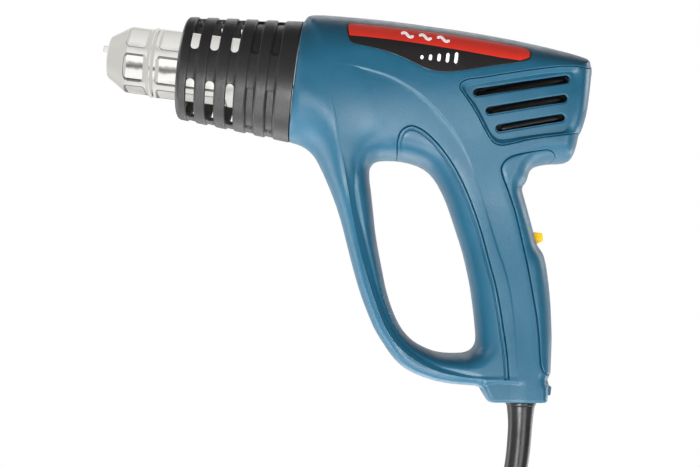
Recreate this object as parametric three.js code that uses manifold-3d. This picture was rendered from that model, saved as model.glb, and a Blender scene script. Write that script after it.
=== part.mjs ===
// Hand-held electric heat gun with a closed-loop handle.
// Millimetres, +Z up. Origin: where the barrel axis meets the flat rear rest plane. The nozzle
// points to -X, the handle hangs to -Z, and the left side of the gun faces -Y.
import * as THREE from 'three';
import { mergeVertices } from 'three/addons/utils/BufferGeometryUtils.js';
import Module from 'manifold-3d';

const wasm = await Module();
wasm.setup();

// ---------------------------------------------------------------- driving dimensions
const WALL = 2.8;            // moulded shell wall
const PART_GAP = 0.15;       // half of the gap at each moulding line
const REACH = 60;            // cutting tools run this far to each side, past the gun's sides
const FRONT_X = -148.8;      // front face of the clamshell
const BORE_R = 25.6;         // opening for the barrel neck
const TIP_X = -246.7;        // front rim of the nozzle
const MOUTH_R = 9.2;         // hot air outlet
const LIFT = 0.8;            // tube and nozzle sit this far above the guard's axis
const CORD_R = 3.75;
const FOOT_FRONT = [-30.7, -151.1];   // (x, z), front corner of the foot
const FOOT_REAR_Z = -147.0;
const CLAMP_SCREW_XS = [-28.2, -10.1];
const CLAMP_Z = -137;

// Side outline, (x, z). The rear edge runs from the front face over the top and down to the foot.
const EDGE_REAR = [
  [FRONT_X, 31.6], [-147.9, 33.4], [-146.3, 34.6], [-143.4, 35.3], [-136, 35.9], [-125.7, 36.3],
  [-112.7, 36.7], [-99.6, 36.8], [-83.8, 36.6], [-68.1, 36.3], [-52.3, 35.6], [-39, 34.7],
  [-25.8, 33.4], [-15.1, 32], [-7.1, 30.6], [-2.8, 29.3], [-0.6, 27.2], [0.3, 24.5], [0.6, 17],
  [0.6, 9.4], [0.5, 1.2], [-0.3, -3.3], [-1.5, -7.3], [-2.2, -11.9], [-2.9, -16.7], [-4.1, -20.5],
  [-5.9, -23.4], [-8.6, -24.8], [-12.1, -25.4], [-17.7, -26.9], [-21.6, -28.7], [-23.6, -30.7],
  [-24.4, -33], [-24.7, -35.4], [-25.3, -37.4], [-26.5, -39.6], [-26.5, -41.2], [-25.1, -44.6],
  [-22.4, -51], [-18.5, -60.4], [-15.3, -67.8], [-13.6, -69.9], [-11.8, -72], [-9.8, -76.5],
  [-8, -82.5], [-5.9, -90.7], [-4.3, -98.3], [-2.8, -107], [-1.6, -115.3], [-0.9, -123.5],
  [-0.5, -129.8], [-0.5, -133.4], [-0.8, -136.2], [-0.5, -138.6], [0.5, -139.4], [0.6, -141.4],
  [0.5, -143.3], [-0.5, -144], [-0.7, -147.145]];
// The bow edge runs from the foot forward and up to the front face.
const EDGE_BOW = [
  FOOT_FRONT, [-33.2, -147.7], [-35.3, -144.9], [-36.2, -144.3], [-38.5, -144.4],
  [-42.1, -144.5], [-50.4, -144.9], [-58.4, -144.5], [-66.4, -143], [-73, -140.9], [-78.6, -137.8],
  [-83.3, -133.7], [-88.2, -128.1], [-92.6, -122.6], [-97.2, -115], [-101.6, -106.7],
  [-105.7, -97.8], [-109.8, -87.8], [-113.7, -77.8], [-117.5, -68.3], [-121.4, -59.9],
  [-125.9, -51.6], [-130.9, -43.3], [-135, -37.6], [-139.1, -34.2], [-143.8, -32.2],
  [FRONT_X, -31.3]];
const FOOT_SIDE = 4;   // the first points of the bow edge are the foot's flat side, not rounded
// Hole of the handle loop.
const LOOP = [
  [-98.2, -34.7], [-90.6, -34.2], [-85.3, -34.6], [-80.3, -35.7], [-75.7, -37.9], [-71.5, -41.6],
  [-68.2, -45.9], [-64.2, -52.4], [-60.5, -59.8], [-56.8, -67.7], [-53.1, -75.7], [-50, -83.7],
  [-47.2, -91.7], [-44.9, -99.8], [-42.8, -107.9], [-41, -116.1], [-40.2, -120.7], [-40.5, -123.9],
  [-42, -126.4], [-44.7, -128.1], [-49.8, -129.2], [-55, -129.7], [-60.8, -129.5], [-66.7, -128],
  [-72.8, -125.3], [-78.1, -121], [-82, -116], [-85.8, -109.4], [-89.7, -100.6], [-93.2, -90.3],
  [-96.2, -81.1], [-98.7, -72.6], [-101, -62.9], [-103.4, -52.7], [-105.4, -44.5], [-105.7, -39.6],
  [-103.6, -36.3]];
// (x, z, half width of the gun there).
const HALF_WIDTH = [
  [-149, 0, 31.5], [-149, 26, 31.5], [-149, -26, 31.5], [-128, 0, 33], [-128, 26, 33],
  [-128, -22, 32], [-95, 5, 34], [-95, 28, 33.5], [-95, -22, 31], [-62, 8, 34], [-60, 28, 33],
  [-62, -18, 30.5], [-28, 8, 33.5], [-28, 26, 32.5], [-28, -16, 30], [-4, 10, 31], [-4, -10, 30],
  [-55, -38, 24.5], [-46, -50, 21], [-38, -68, 19], [-30, -90, 18.5], [-23, -112, 18.5],
  [-18, -132, 19.5], [-16, -148, 20], [-36, -138, 18], [-58, -137, 15.5], [-80, -130, 14.5],
  [-94, -108, 14.5], [-104, -84, 15.5], [-112, -64, 18], [-122, -44, 23.5], [-138, -30, 29]];
// (x, z, distance over which the side rounds over to the outline).
const ROUNDING = [
  [-149, 0, 31.5], [-149, 28, 31.5], [-149, -28, 31.5], [-125, 30, 24], [-95, 30, 20],
  [-60, 30, 18], [-25, 28, 15], [-3, 10, 8], [-5, -12, 9], [-15, -24, 9], [-26, -38, 10],
  [-60, -36, 12], [-92, -32, 11], [-118, -30, 15], [-126, -48, 11], [-112, -66, 8],
  [-100, -92, 6.5], [-86, -118, 6], [-60, -138, 6.5], [-40, -135, 8], [-46, -70, 12],
  [-20, -66, 10], [-34, -92, 13], [-10, -92, 12], [-6, -120, 11], [-33, -118, 12],
  [-20, -100, 13], [-4, -145, 6], [-31, -148, 4], [-18, -146, 8]];
const MIN_ROUNDING = 2.2;
const ROUNDING_EXPONENT = 2.2;                    // superellipse power of the rounding
const FRONT_ROUNDING = { length: 4.5, depth: 1.6 };   // narrowing of the sides at the front face

// Moulding lines that part the shell, (x, z).
const CAP_LINE = [
  [7, 24.2], [-4.8, 21.8], [-11, 21.9], [-17.8, 20.9], [-27.5, 18.6], [-42.3, 14.5], [-57, 10.1],
  [-64.2, 8.2], [-66.8, 6.2], [-66.9, 3.7], [-64.6, 1.2], [-58.6, -5.4], [-53, -12.9],
  [-49.4, -17.5], [-46.4, -20.4], [-42.6, -21.2], [-37.9, -19.9], [-28.1, -16.4], [-18.3, -13.8],
  [-8.3, -11.3], [7, -8.6]];
const REAR_GRIP_LINE = [
  [-14.5, -33], [-14.7, -26.4], [-13.9, -23.6], [-16.1, -21.4], [-18.9, -20.6], [-22.9, -21.4],
  [-32.3, -24.3], [-36.9, -26.3], [-39.7, -29.1], [-40.8, -32.4], [-39.6, -36], [-35.1, -44.1],
  [-30.9, -52.4], [-27.7, -60.3], [-24.8, -68.2], [-21.7, -76.8], [-17.9, -88.3], [-15.4, -96.2],
  [-13, -104], [-10.4, -115], [-8.8, -123.8], [-7.4, -129.4], [-4.7, -132.4], [7, -134], [7, -60]];
const FRONT_GRIP_LINE = [
  [-92.6, -40], [-93.2, -32], [-94, -26], [-92.6, -20.2], [-88.6, -17.4], [-83.3, -18.3],
  [-75.4, -23.2], [-67.1, -31.2], [-58.9, -42], [-52.7, -52.1], [-47.6, -62], [-43.9, -70.4],
  [-40.4, -79], [-34.6, -93.4], [-28.5, -113.5], [-25.2, -126], [-24, -134], [-27, -136.8],
  [-35, -136.2], [-41.5, -133.5], [-45.5, -128.5], [-47, -122], [-60, -80], [-75, -50]];
const LABEL_LINE = [
  [-126.4, 29.6], [-125, 30.9], [-122.3, 31.2], [-114.3, 31.4], [-105, 31.5], [-96, 31.6],
  [-77, 31.4], [-58.8, 30.8], [-45.1, 29.8], [-36.4, 28.8], [-33.6, 26.4], [-34, 22.6],
  [-37.8, 20.6], [-53.4, 16.2], [-66.2, 12.4], [-73.2, 10.8], [-79.4, 10.3], [-84.2, 10.9],
  [-91.4, 13.2], [-100.7, 16.1], [-111.6, 18.1], [-119.8, 19], [-123.2, 19.9], [-124.9, 22.4]];
// Sunk floor in each side of the rear cap, (x, z).
const CAP_FLOOR = [
  [-12.6, 17.4], [-27.5, 14.6], [-43, 10.4], [-56.5, 6.4], [-62.6, 4.8], [-63.3, 2.6],
  [-58.3, -2.8], [-52.2, -10.7], [-48, -16.3], [-45.2, -18.2], [-42, -18.2], [-33.2, -15.6],
  [-23.3, -12.9], [-12.8, -10.2]];
const CAP_SINK = 1.3;
// Intake slots in each side of the rear cap: the ends of the centre line, (x, z, x, z).
const SLOTS = [[-58, 2.7, -15, 14.9], [-50.6, -5.3, -15, 5.2], [-44.4, -13.2, -15, -4.4]];
const SLOT_R = 2.0;
// Housing screws, (x, z).
const CAP_SCREW = [-19.5, 26.6];
const SCREWS = [
  [-137, 29.2], CAP_SCREW, [-33, -25.6], [-127.5, -38.5], [-100.2, -92.5], [-24.5, -99],
  [-58, -137.2]];
const SCREW_HEAD_Y = 5.8;    // underside of the screw heads

// ---------------------------------------------------------------- plane geometry, (x, z)
// Smooth interpolation of samples (x, z, value): distance kernels plus a plane.
function field(samples) {
  const count = samples.length;
  const size = count + 3;
  const rows = Array.from({ length: size }, () => new Float64Array(size + 1));
  samples.forEach(([x, z, value], i) => {
    samples.forEach((other, j) => {
      rows[i][j] = Math.hypot(x - other[0], z - other[1]);
    });
    [1, x, z].forEach((term, k) => {
      rows[i][count + k] = term;
      rows[count + k][i] = term;
    });
    rows[i][size] = value;
  });
  // Gauss-Jordan elimination with row pivoting.
  for (let col = 0; col < size; col++) {
    let pivot = col;
    for (let row = col + 1; row < size; row++) {
      if (Math.abs(rows[row][col]) > Math.abs(rows[pivot][col])) pivot = row;
    }
    [rows[col], rows[pivot]] = [rows[pivot], rows[col]];
    for (let row = 0; row < size; row++) {
      if (row === col) continue;
      const factor = rows[row][col] / rows[col][col];
      if (factor) for (let k = col; k <= size; k++) rows[row][k] -= factor * rows[col][k];
    }
  }
  const weights = rows.map((row, i) => row[size] / row[i]);
  return (x, z) => {
    let value = weights[count] + weights[count + 1] * x + weights[count + 2] * z;
    for (let i = 0; i < count; i++) {
      value += weights[i] * Math.hypot(x - samples[i][0], z - samples[i][1]);
    }
    return value;
  };
}

const path = (points, closed = false) => new THREE.CatmullRomCurve3(
  points.map((point) => new THREE.Vector3(...point)), closed, 'centripetal');

// Evenly spaced points, about one step apart, on a smooth curve through the given points.
function spline(points, closed, step) {
  const curve = path(points.map(([x, z]) => [x, 0, z]), closed);
  const count = Math.max(2, Math.round(curve.getLength() / step));
  const spaced = curve.getSpacedPoints(count).map((point) => [point.x, point.z]);
  if (closed) spaced.pop();
  return spaced;
}

const closeLoop = (points) => [...points, points[0]];

function insidePolygon(polygon, x, z) {
  let hit = false;
  for (let i = 0, j = polygon.length - 1; i < polygon.length; j = i++) {
    const [xi, zi] = polygon[i];
    const [xj, zj] = polygon[j];
    if ((zi > z) !== (zj > z) && x < ((xj - xi) * (z - zi)) / (zj - zi) + xi) hit = !hit;
  }
  return hit;
}

function segmentDistance(x, z, from, to) {
  const dx = to[0] - from[0];
  const dz = to[1] - from[1];
  const along = ((x - from[0]) * dx + (z - from[1]) * dz) / (dx * dx + dz * dz || 1);
  const t = Math.min(1, Math.max(0, along));
  return Math.hypot(x - from[0] - t * dx, z - from[1] - t * dz);
}

function lineDistance(lines, x, z) {
  let nearest = 1e9;
  for (const line of lines) {
    for (let i = 0; i + 1 < line.length; i++) {
      nearest = Math.min(nearest, segmentDistance(x, z, line[i], line[i + 1]));
    }
  }
  return nearest;
}

const signedArea = (polygon) => polygon.reduce((sum, from, i) => {
  const to = polygon[(i + 1) % polygon.length];
  return sum + from[0] * to[1] - to[0] * from[1];
}, 0) / 2;

// A positive distance grows the region.
function offset(polygon, distance) {
  const turn = Math.sign(signedArea(polygon));
  const count = polygon.length;
  return polygon.map((point, i) => {
    const before = polygon[(i + count - 1) % count];
    const after = polygon[(i + 1) % count];
    const tx = after[0] - before[0];
    const tz = after[1] - before[1];
    const length = Math.hypot(tx, tz) || 1;
    return [
      point[0] + (turn * distance * tz) / length,
      point[1] - (turn * distance * tx) / length];
  });
}

// Outline of a slot with round ends about a centre line.
function obround(x0, z0, x1, z1, radius) {
  const END_STEPS = 3;
  const heading = Math.atan2(z1 - z0, x1 - x0);
  const points = [];
  for (const [x, z, start] of [[x1, z1, heading - Math.PI / 2], [x0, z0, heading + Math.PI / 2]]) {
    for (let i = 0; i <= END_STEPS; i++) {
      const angle = start + (Math.PI * i) / END_STEPS;
      points.push([x + radius * Math.cos(angle), z + radius * Math.sin(angle)]);
    }
  }
  return points;
}

// ---------------------------------------------------------------- triangulation
const edgeKey = (from, to) => from * 1e5 + to;
const undirectedKey = (a, b) => edgeKey(Math.min(a, b), Math.max(a, b));
const sidesOf = ([a, b, c]) => [[a, b], [b, c], [c, a]];

// Delaunay triangles of a point set (incremental, circumcircle test).
function delaunay(points) {
  const count = points.length;
  const FAR = 1e4;   // corners of the starting triangle
  const all = [...points, [-FAR, -FAR], [FAR, -FAR], [0, FAR]];
  const withCircle = (a, b, c) => {
    const [ax, ay] = all[a];
    const [bx, by] = all[b];
    const [cx, cy] = all[c];
    const d = 2 * (ax * (by - cy) + bx * (cy - ay) + cx * (ay - by));
    const a2 = ax * ax + ay * ay;
    const b2 = bx * bx + by * by;
    const c2 = cx * cx + cy * cy;
    const centreX = (a2 * (by - cy) + b2 * (cy - ay) + c2 * (ay - by)) / d;
    const centreY = (a2 * (cx - bx) + b2 * (ax - cx) + c2 * (bx - ax)) / d;
    const radius2 = (ax - centreX) ** 2 + (ay - centreY) ** 2;
    return { corners: [a, b, c], centreX, centreY, radius2 };
  };
  let triangles = [withCircle(count, count + 1, count + 2)];
  for (let i = 0; i < count; i++) {
    const [x, y] = all[i];
    const rim = new Map();
    const keep = [];
    for (const triangle of triangles) {
      const distance2 = (x - triangle.centreX) ** 2 + (y - triangle.centreY) ** 2;
      if (distance2 < triangle.radius2 * (1 - 1e-12)) {
        for (const [from, to] of sidesOf(triangle.corners)) {
          if (!rim.delete(edgeKey(to, from))) rim.set(edgeKey(from, to), [from, to]);
        }
      } else keep.push(triangle);
    }
    for (const [from, to] of rim.values()) keep.push(withCircle(from, to, i));
    triangles = keep;
  }
  return triangles.map(({ corners }) => corners).filter((corners) => Math.max(...corners) < count);
}

// Inner mesh points: rows that follow the loops at the ring depths, then a triangular grid.
function scatterInside(loops, isInside, rings, grid) {
  const closedLoops = loops.map(closeLoop);
  const points = [];
  const push = (x, z, gap) => {
    if (!points.some((point) => Math.hypot(point[0] - x, point[1] - z) < gap)) points.push([x, z]);
  };
  for (const depth of rings) {
    const gap = Math.min(3.2, Math.max(1.2, depth * 0.7));
    loops.forEach((loop, index) => {
      for (const [x, z] of offset(loop, index ? depth : -depth)) {
        if (isInside(x, z) && lineDistance(closedLoops, x, z) > depth * 0.9) push(x, z, gap);
      }
    });
  }
  const xs = loops[0].map(([x]) => x);
  const zs = loops[0].map(([, z]) => z);
  const margin = (rings.at(-1) ?? 0) + grid * 0.45;
  for (let j = 0, z = Math.min(...zs); z < Math.max(...zs); z += grid * 0.87, j++) {
    for (let x = Math.min(...xs) + (j % 2 ? grid / 2 : 0); x < Math.max(...xs); x += grid) {
      if (isInside(x, z) && lineDistance(closedLoops, x, z) > margin) push(x, z, grid * 0.6);
    }
  }
  // A slight shift of each point breaks up rows that lie on one circle or line.
  const SHIFT = 0.013;
  return points.map(([x, z], i) => [
    x + SHIFT * Math.sin(i * 12.9898),
    z + SHIFT * Math.cos(i * 78.233)]);
}

// Triangulates, halving loop edges until every one of them is a triangle side.
function triangulateLoops(startLoops, inner) {
  let loops = startLoops;
  let points;
  let triangles;
  for (let round = 0; round < 6; round++) {
    points = [];
    const edges = [];
    for (const loop of loops) {
      const start = points.length;
      loop.forEach((point, i) => {
        points.push(point);
        edges.push([start + i, start + ((i + 1) % loop.length)]);
      });
    }
    points.push(...inner);
    triangles = delaunay(points);
    const present = new Set(triangles.flatMap(sidesOf).map((side) => undirectedKey(...side)));
    const missing = new Set(
      edges.filter((edge) => !present.has(undirectedKey(...edge))).map(([from]) => from));
    if (!missing.size) break;
    let base = 0;
    loops = loops.map((loop) => {
      const refined = loop.flatMap((point, i) => {
        if (!missing.has(base + i)) return [point];
        const next = loop[(i + 1) % loop.length];
        return [point, [(point[0] + next[0]) / 2, (point[1] + next[1]) / 2]];
      });
      base += loop.length;
      return refined;
    });
  }
  return { points, triangles };
}

// A closed solid between two height sheets nearY(x, z) < farY(x, z) over a region with holes.
function sheetSolid(outer, holes, nearY, farY, rings, grid) {
  const isInside = (x, z) => insidePolygon(outer, x, z)
    && !holes.some((hole) => insidePolygon(hole, x, z));
  const loops = [outer, ...holes];
  const inner = scatterInside(loops, isInside, rings, grid);
  const { points, triangles } = triangulateLoops(loops, inner);

  const positions = [];
  const ids = new Map();
  const vertexId = (x, y, z) => {
    const key = [x, y, z].map((value) => Math.round(value * 1e3)).join();
    if (!ids.has(key)) {
      ids.set(key, positions.length / 3);
      positions.push(x, y, z);
    }
    return ids.get(key);
  };
  const near = points.map(([x, z]) => vertexId(x, nearY(x, z), z));
  const far = points.map(([x, z]) => vertexId(x, farY(x, z), z));

  const indices = [];
  const halfEdges = new Map();
  for (let [a, b, c] of triangles) {
    const [pa, pb, pc] = [points[a], points[b], points[c]];
    if (!isInside((pa[0] + pb[0] + pc[0]) / 3, (pa[1] + pb[1] + pc[1]) / 3)) continue;
    const turn = (pb[0] - pa[0]) * (pc[1] - pa[1]) - (pb[1] - pa[1]) * (pc[0] - pa[0]);
    if (turn < 0) [b, c] = [c, b];
    indices.push(near[a], near[b], near[c], far[a], far[c], far[b]);
    for (const [from, to] of sidesOf([a, b, c])) halfEdges.set(edgeKey(from, to), [from, to]);
  }
  // Side wall along every edge that has no neighbour.
  for (const [from, to] of halfEdges.values()) {
    if (halfEdges.has(edgeKey(to, from))) continue;
    indices.push(near[to], near[from], far[from], near[to], far[from], far[to]);
  }
  return solid(bareGeometry(positions, indices));
}

// ---------------------------------------------------------------- solids
function bareGeometry(positions, indices) {
  const geometry = new THREE.BufferGeometry();
  geometry.setAttribute('position', new THREE.Float32BufferAttribute(positions, 3));
  geometry.setIndex(indices);
  return geometry;
}

function solid(geometry) {
  for (const name of Object.keys(geometry.attributes)) {
    if (name !== 'position') geometry.deleteAttribute(name);
  }
  const merged = mergeVertices(geometry, 1e-4);
  const indices = [];
  for (let i = 0; i < merged.index.count; i += 3) {
    const [a, b, c] = [0, 1, 2].map((k) => merged.index.getX(i + k));
    if (a !== b && b !== c && a !== c) indices.push(a, b, c);
  }
  const build = () => new wasm.Manifold(new wasm.Mesh({
    numProp: 3,
    vertProperties: new Float32Array(merged.attributes.position.array),
    triVerts: new Uint32Array(indices),
  }));
  const built = build();
  if (built.volume() > 0) return built;
  // Turn the faces outwards.
  for (let i = 0; i < indices.length; i += 3) {
    [indices[i + 1], indices[i + 2]] = [indices[i + 2], indices[i + 1]];
  }
  return build();
}

const biggest = (body) => body.decompose().sort((a, b) => b.volume() - a.volume())[0];

const boxGeometry = (x0, x1, y0, y1, z0, z1) => new THREE.BoxGeometry(x1 - x0, y1 - y0, z1 - z0)
  .translate((x0 + x1) / 2, (y0 + y1) / 2, (z0 + z1) / 2);
const box = (...limits) => solid(boxGeometry(...limits));
// The y span between two distances from the middle plane, on one side of it (-1 left, 1 right).
const sideSpan = (side, near, far) => (side < 0 ? [-far, -near] : [near, far]);

// Turned about the barrel axis: profile of [x, radius].
const latheX = (profile, facets) => new THREE.LatheGeometry(
  profile.map(([x, radius]) => new THREE.Vector2(radius, x)), facets).rotateZ(-Math.PI / 2);
const turnedX = (profile, facets) => solid(latheX(profile, facets));
const discX = (x0, x1, radius, facets) => turnedX(
  [[x0, 0], [x0, radius], [x1, radius], [x1, 0]], facets);
const ringX = (x0, x1, innerR, outerR, facets) => turnedX(
  closeLoop([[x0, innerR], [x0, outerR], [x1, outerR], [x1, innerR]]), facets);
// Cylinder along X centred on a point.
const pinX = (radius, length, facets, centre) => solid(
  new THREE.CylinderGeometry(radius, radius, length, facets)
    .rotateZ(Math.PI / 2).translate(...centre));

// Turned about a line along Y through (x, z): profile of [y, radius].
const turnedY = (profile, x, z, facets) => solid(new THREE.LatheGeometry(
  profile.map(([y, radius]) => new THREE.Vector2(radius, y)), facets).translate(x, 0, z));
const rodY = (x, z, radius, y0, y1, facets) => turnedY(
  [[y0, 0], [y0, radius], [y1, radius], [y1, 0]], x, z, facets);

// Region in (x, z) extruded along Y.
const plateGeometry = (points, y0, y1) => new THREE.ExtrudeGeometry(
  new THREE.Shape(points.map(([x, z]) => new THREE.Vector2(x, z))),
  { depth: y1 - y0, bevelEnabled: false }).rotateX(Math.PI / 2).translate(0, y1, 0);
const plate = (...region) => solid(plateGeometry(...region));
const throughPlate = (points) => plate(points, -REACH, REACH);

// Cross-section extruded along X from a given x.
const extrudedX = (shape, x, depth, curveSegments) => solid(
  new THREE.ExtrudeGeometry(shape, { depth, bevelEnabled: false, curveSegments })
    .rotateY(Math.PI / 2).translate(x, 0, 0));

// Round rod along a smooth curve, ends closed flat. The radius is a function of the 0-1 length.
function swept(points, radiusAt, steps, facets) {
  const curve = path(points);
  const frames = curve.computeFrenetFrames(steps, false);
  const positions = [];
  for (let i = 0; i <= steps; i++) {
    const centre = curve.getPointAt(i / steps);
    const radius = radiusAt(i / steps);
    for (let j = 0; j < facets; j++) {
      const angle = (2 * Math.PI * j) / facets;
      positions.push(...centre.clone()
        .addScaledVector(frames.normals[i], radius * Math.cos(angle))
        .addScaledVector(frames.binormals[i], radius * Math.sin(angle)));
    }
  }
  positions.push(...curve.getPointAt(0), ...curve.getPointAt(1));
  const startCentre = (steps + 1) * facets;
  const lastRing = steps * facets;
  const indices = [];
  for (let j = 0; j < facets; j++) {
    const k = (j + 1) % facets;
    for (let ring = 0; ring < lastRing; ring += facets) {
      const next = ring + facets;
      indices.push(ring + j, ring + k, next + k, ring + j, next + k, next + j);
    }
    indices.push(startCentre, k, j, startCentre + 1, lastRing + j, lastRing + k);
  }
  return solid(bareGeometry(positions, indices));
}
const rodAlong = (points, radius, steps, facets) => swept(points, () => radius, steps, facets);

// ---------------------------------------------------------------- materials
const plastic = ({ color, roughness }) => new THREE.MeshStandardMaterial(
  { color, roughness, metalness: 0 });
const metal = ({ color, roughness }) => new THREE.MeshStandardMaterial(
  { color, roughness, metalness: 1 });

const BLUE = plastic({ color: 0x2f6484, roughness: 0.45 });
const BLUE_GRIP = plastic({ color: 0x2c5f7e, roughness: 0.5 });
const BLACK = plastic({ color: 0x232426, roughness: 0.5 });
const RUBBER = plastic({ color: 0x1b1b1d, roughness: 0.7 });
const RED = plastic({ color: 0xe8392c, roughness: 0.35 });
const YELLOW = plastic({ color: 0xf2a516, roughness: 0.4 });
const MICA = plastic({ color: 0xb9a98c, roughness: 0.8 });
const CERAMIC = plastic({ color: 0xe6e2d6, roughness: 0.85 });
const BOARD = plastic({ color: 0x2f6b46, roughness: 0.6 });
const GREY = plastic({ color: 0x4a4c50, roughness: 0.6 });
const NATURAL = plastic({ color: 0xd9d6cc, roughness: 0.6 });
const CHROME = metal({ color: 0xc9ccce, roughness: 0.18 });
const STEEL = metal({ color: 0xa9abad, roughness: 0.35 });
const COPPER = metal({ color: 0xa3654a, roughness: 0.4 });
const BRASS = metal({ color: 0xb99a55, roughness: 0.35 });

const group = new THREE.Group();
group.name = 'heat_gun';

function addPiece(name, body, material) {
  const { vertProperties, triVerts } = body.getMesh();
  const geometry = bareGeometry(vertProperties, Array.from(triVerts));
  geometry.computeVertexNormals();
  const mesh = new THREE.Mesh(geometry, material);
  mesh.name = name;
  group.add(mesh);
}

// ---------------------------------------------------------------- the moulded envelope
// Edges that the sides round over to; the front face and the base are flat cuts.
const softEdges = [
  spline(EDGE_REAR, false, 1.2),
  spline(EDGE_BOW.slice(FOOT_SIDE), false, 1.2),
  closeLoop(spline(LOOP, true, 1.2))];
const halfWidth = field(HALF_WIDTH);
const rounding = field(ROUNDING);

function superellipse(t) {
  if (t >= 1) return 1;
  if (t <= 0) return 0;
  return Math.pow(1 - Math.pow(1 - t, ROUNDING_EXPONENT), 1 / ROUNDING_EXPONENT);
}

// Half width at (x, z) of the envelope shrunk by inset.
function bulge(x, z, inset) {
  const depth = lineDistance(softEdges, x, z) - inset;
  if (depth < 0.02) return 0;
  const radius = Math.max(MIN_ROUNDING, rounding(x, z) - inset);
  const nearFront = Math.max(0, 1 - (x - FRONT_X) / FRONT_ROUNDING.length);
  const narrowing = FRONT_ROUNDING.depth * (1 - Math.sqrt(1 - Math.min(1, nearFront) ** 2));
  return Math.max(0, halfWidth(x, z) - inset - narrowing) * superellipse(depth / radius);
}
const outerY = (x, z) => bulge(x, z, 0);
const innerY = (x, z) => Math.max(0.01, bulge(x, z, WALL));

function makeEnvelope() {
  const rearEdge = spline(EDGE_REAR, false, 6.2);
  const bowEdge = spline(EDGE_BOW, false, 8.5);
  const footRear = rearEdge.at(-1);
  const footFront = bowEdge[0];
  const base = [0.33, 0.66].map((t) => [
    footRear[0] + t * (footFront[0] - footRear[0]),
    footRear[1] + t * (footFront[1] - footRear[1])]);
  const front = [-22, -11, 0, 11, 22].map((z) => [FRONT_X, z]);
  const outline = [...rearEdge, ...base, ...bowEdge, ...front];
  const hole = spline(LOOP, true, 8.5);
  return sheetSolid(outline, [hole], (x, z) => -outerY(x, z), outerY, [1.2, 5, 11.5], 20)
    .subtract(box(0, 9, -REACH, REACH, -160, 60));
}

// Offset line without its folded points.
const shrink = (line, distance) => offset(line, distance)
  .filter(([x, z]) => lineDistance(softEdges, x, z) > Math.abs(distance) * 0.93);

function makeCavity() {
  const frontX = FRONT_X + WALL;
  const floorRearZ = FOOT_REAR_Z + WALL;
  const [footFrontX, footFrontZ] = FOOT_FRONT;
  const floorFrontZ = footFrontZ + WALL;
  const rear = shrink([...spline(EDGE_REAR, false, 9), [0.4, -158]], -WALL)
    .filter(([x, z]) => x > frontX + 2 && z > -142);
  const bow = shrink([[0, -158], ...spline(EDGE_BOW, false, 11)], -WALL)
    .filter(([x]) => x > frontX + 2 && x < -30.5);
  const front = [-28, -14, 0, 14, 27.5].map((z) => [frontX, z]);
  const outline = [...rear, [-WALL + 0.4, floorRearZ], [-29, -150.9 + WALL], ...bow, ...front];
  const hole = shrink(spline(LOOP, true, 10.5), WALL);
  const belowFloor = throughPlate([
    [-80, -176], [20, -176], [20, floorRearZ + 0.1], [0.4, floorRearZ],
    [footFrontX, floorFrontZ], [-80, floorFrontZ - 6.5]]);
  return sheetSolid(outline, [hole], (x, z) => -innerY(x, z), innerY, [3.6], 22)
    .subtract(belowFloor)
    .subtract(box(-WALL, 9, -REACH, REACH, -160, 60));
}

const envelope = makeEnvelope();
const shell = envelope.subtract(makeCavity());

// ---------------------------------------------------------------- shells
// For a part of the shell: the opening it leaves in the halves, and the region it fills.
const panel = (line) => ({
  opening: throughPlate(offset(line, PART_GAP)),
  region: throughPlate(offset(line, -PART_GAP)),
});
const capPanel = panel(spline(CAP_LINE, false, 8.5));
const rearGripPanel = panel(spline(REAR_GRIP_LINE, false, 9));
const frontGripPanel = panel(spline(FRONT_GRIP_LINE, true, 10.5));

// Layer that follows the side surface, between two heights above it.
const PATCH_GRID = 11;
const labelLine = spline(LABEL_LINE, true, 8);
function patch(line, bottom, top, side) {
  const low = (x, z) => side * (outerY(x, z) + bottom);
  const high = (x, z) => side * (outerY(x, z) + top);
  const [nearY, farY] = side < 0 ? [high, low] : [low, high];
  return sheetSolid(line, [], nearY, farY, [], PATCH_GRID);
}

// Posts run from inside the shell skin to the parting plane.
const POST_SINK = 1.6;
function screwPost(x, z, side) {
  const end = Math.max(outerY(x, z) - POST_SINK, 6);
  return rodY(x, z, side < 0 ? 3.3 : 4.4, ...sideSpan(side, PART_GAP, end), 8);
}

function housing(side) {
  const isRight = side > 0;
  let body = shell.intersect(box(-170, 20, ...sideSpan(side, PART_GAP, 70), -170, 60));
  for (const [x, z] of SCREWS) body = body.add(screwPost(x, z, side));
  body = body.intersect(envelope);
  if (isRight) {
    for (const x of CLAMP_SCREW_XS) {
      body = body.add(rodY(x, CLAMP_Z, 2.8, -3.9, outerY(x, CLAMP_Z) - POST_SINK, 8));
    }
  }
  for (const { opening } of [capPanel, rearGripPanel, frontGripPanel]) {
    body = body.subtract(opening);
  }
  for (const [x, z] of SCREWS) {
    body = body.subtract(rodY(x, z, 1.8, -9.5, REACH, 8));
    if (isRight) body = body.subtract(rodY(x, z, 3.6, SCREW_HEAD_Y - 0.3, REACH, 8));
  }
  if (isRight) {
    for (const x of CLAMP_SCREW_XS) body = body.subtract(rodY(x, CLAMP_Z, 1.4, -20, 4.3, 8));
  }
  const cordHole = rodAlong([[-14.8, 0, -136], [-13.1, 0, -149.3], [-11.6, 0, -162]], 7.3, 2, 14);
  body = body
    .subtract(discX(-160, -140, BORE_R, 32))
    .subtract(patch(offset(labelLine, 0.3), -0.9, 6, side))
    .subtract(cordHole);
  return biggest(body);
}
addPiece('housing_left', housing(-1), BLUE);
addPiece('housing_right', housing(1), BLUE);

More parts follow.
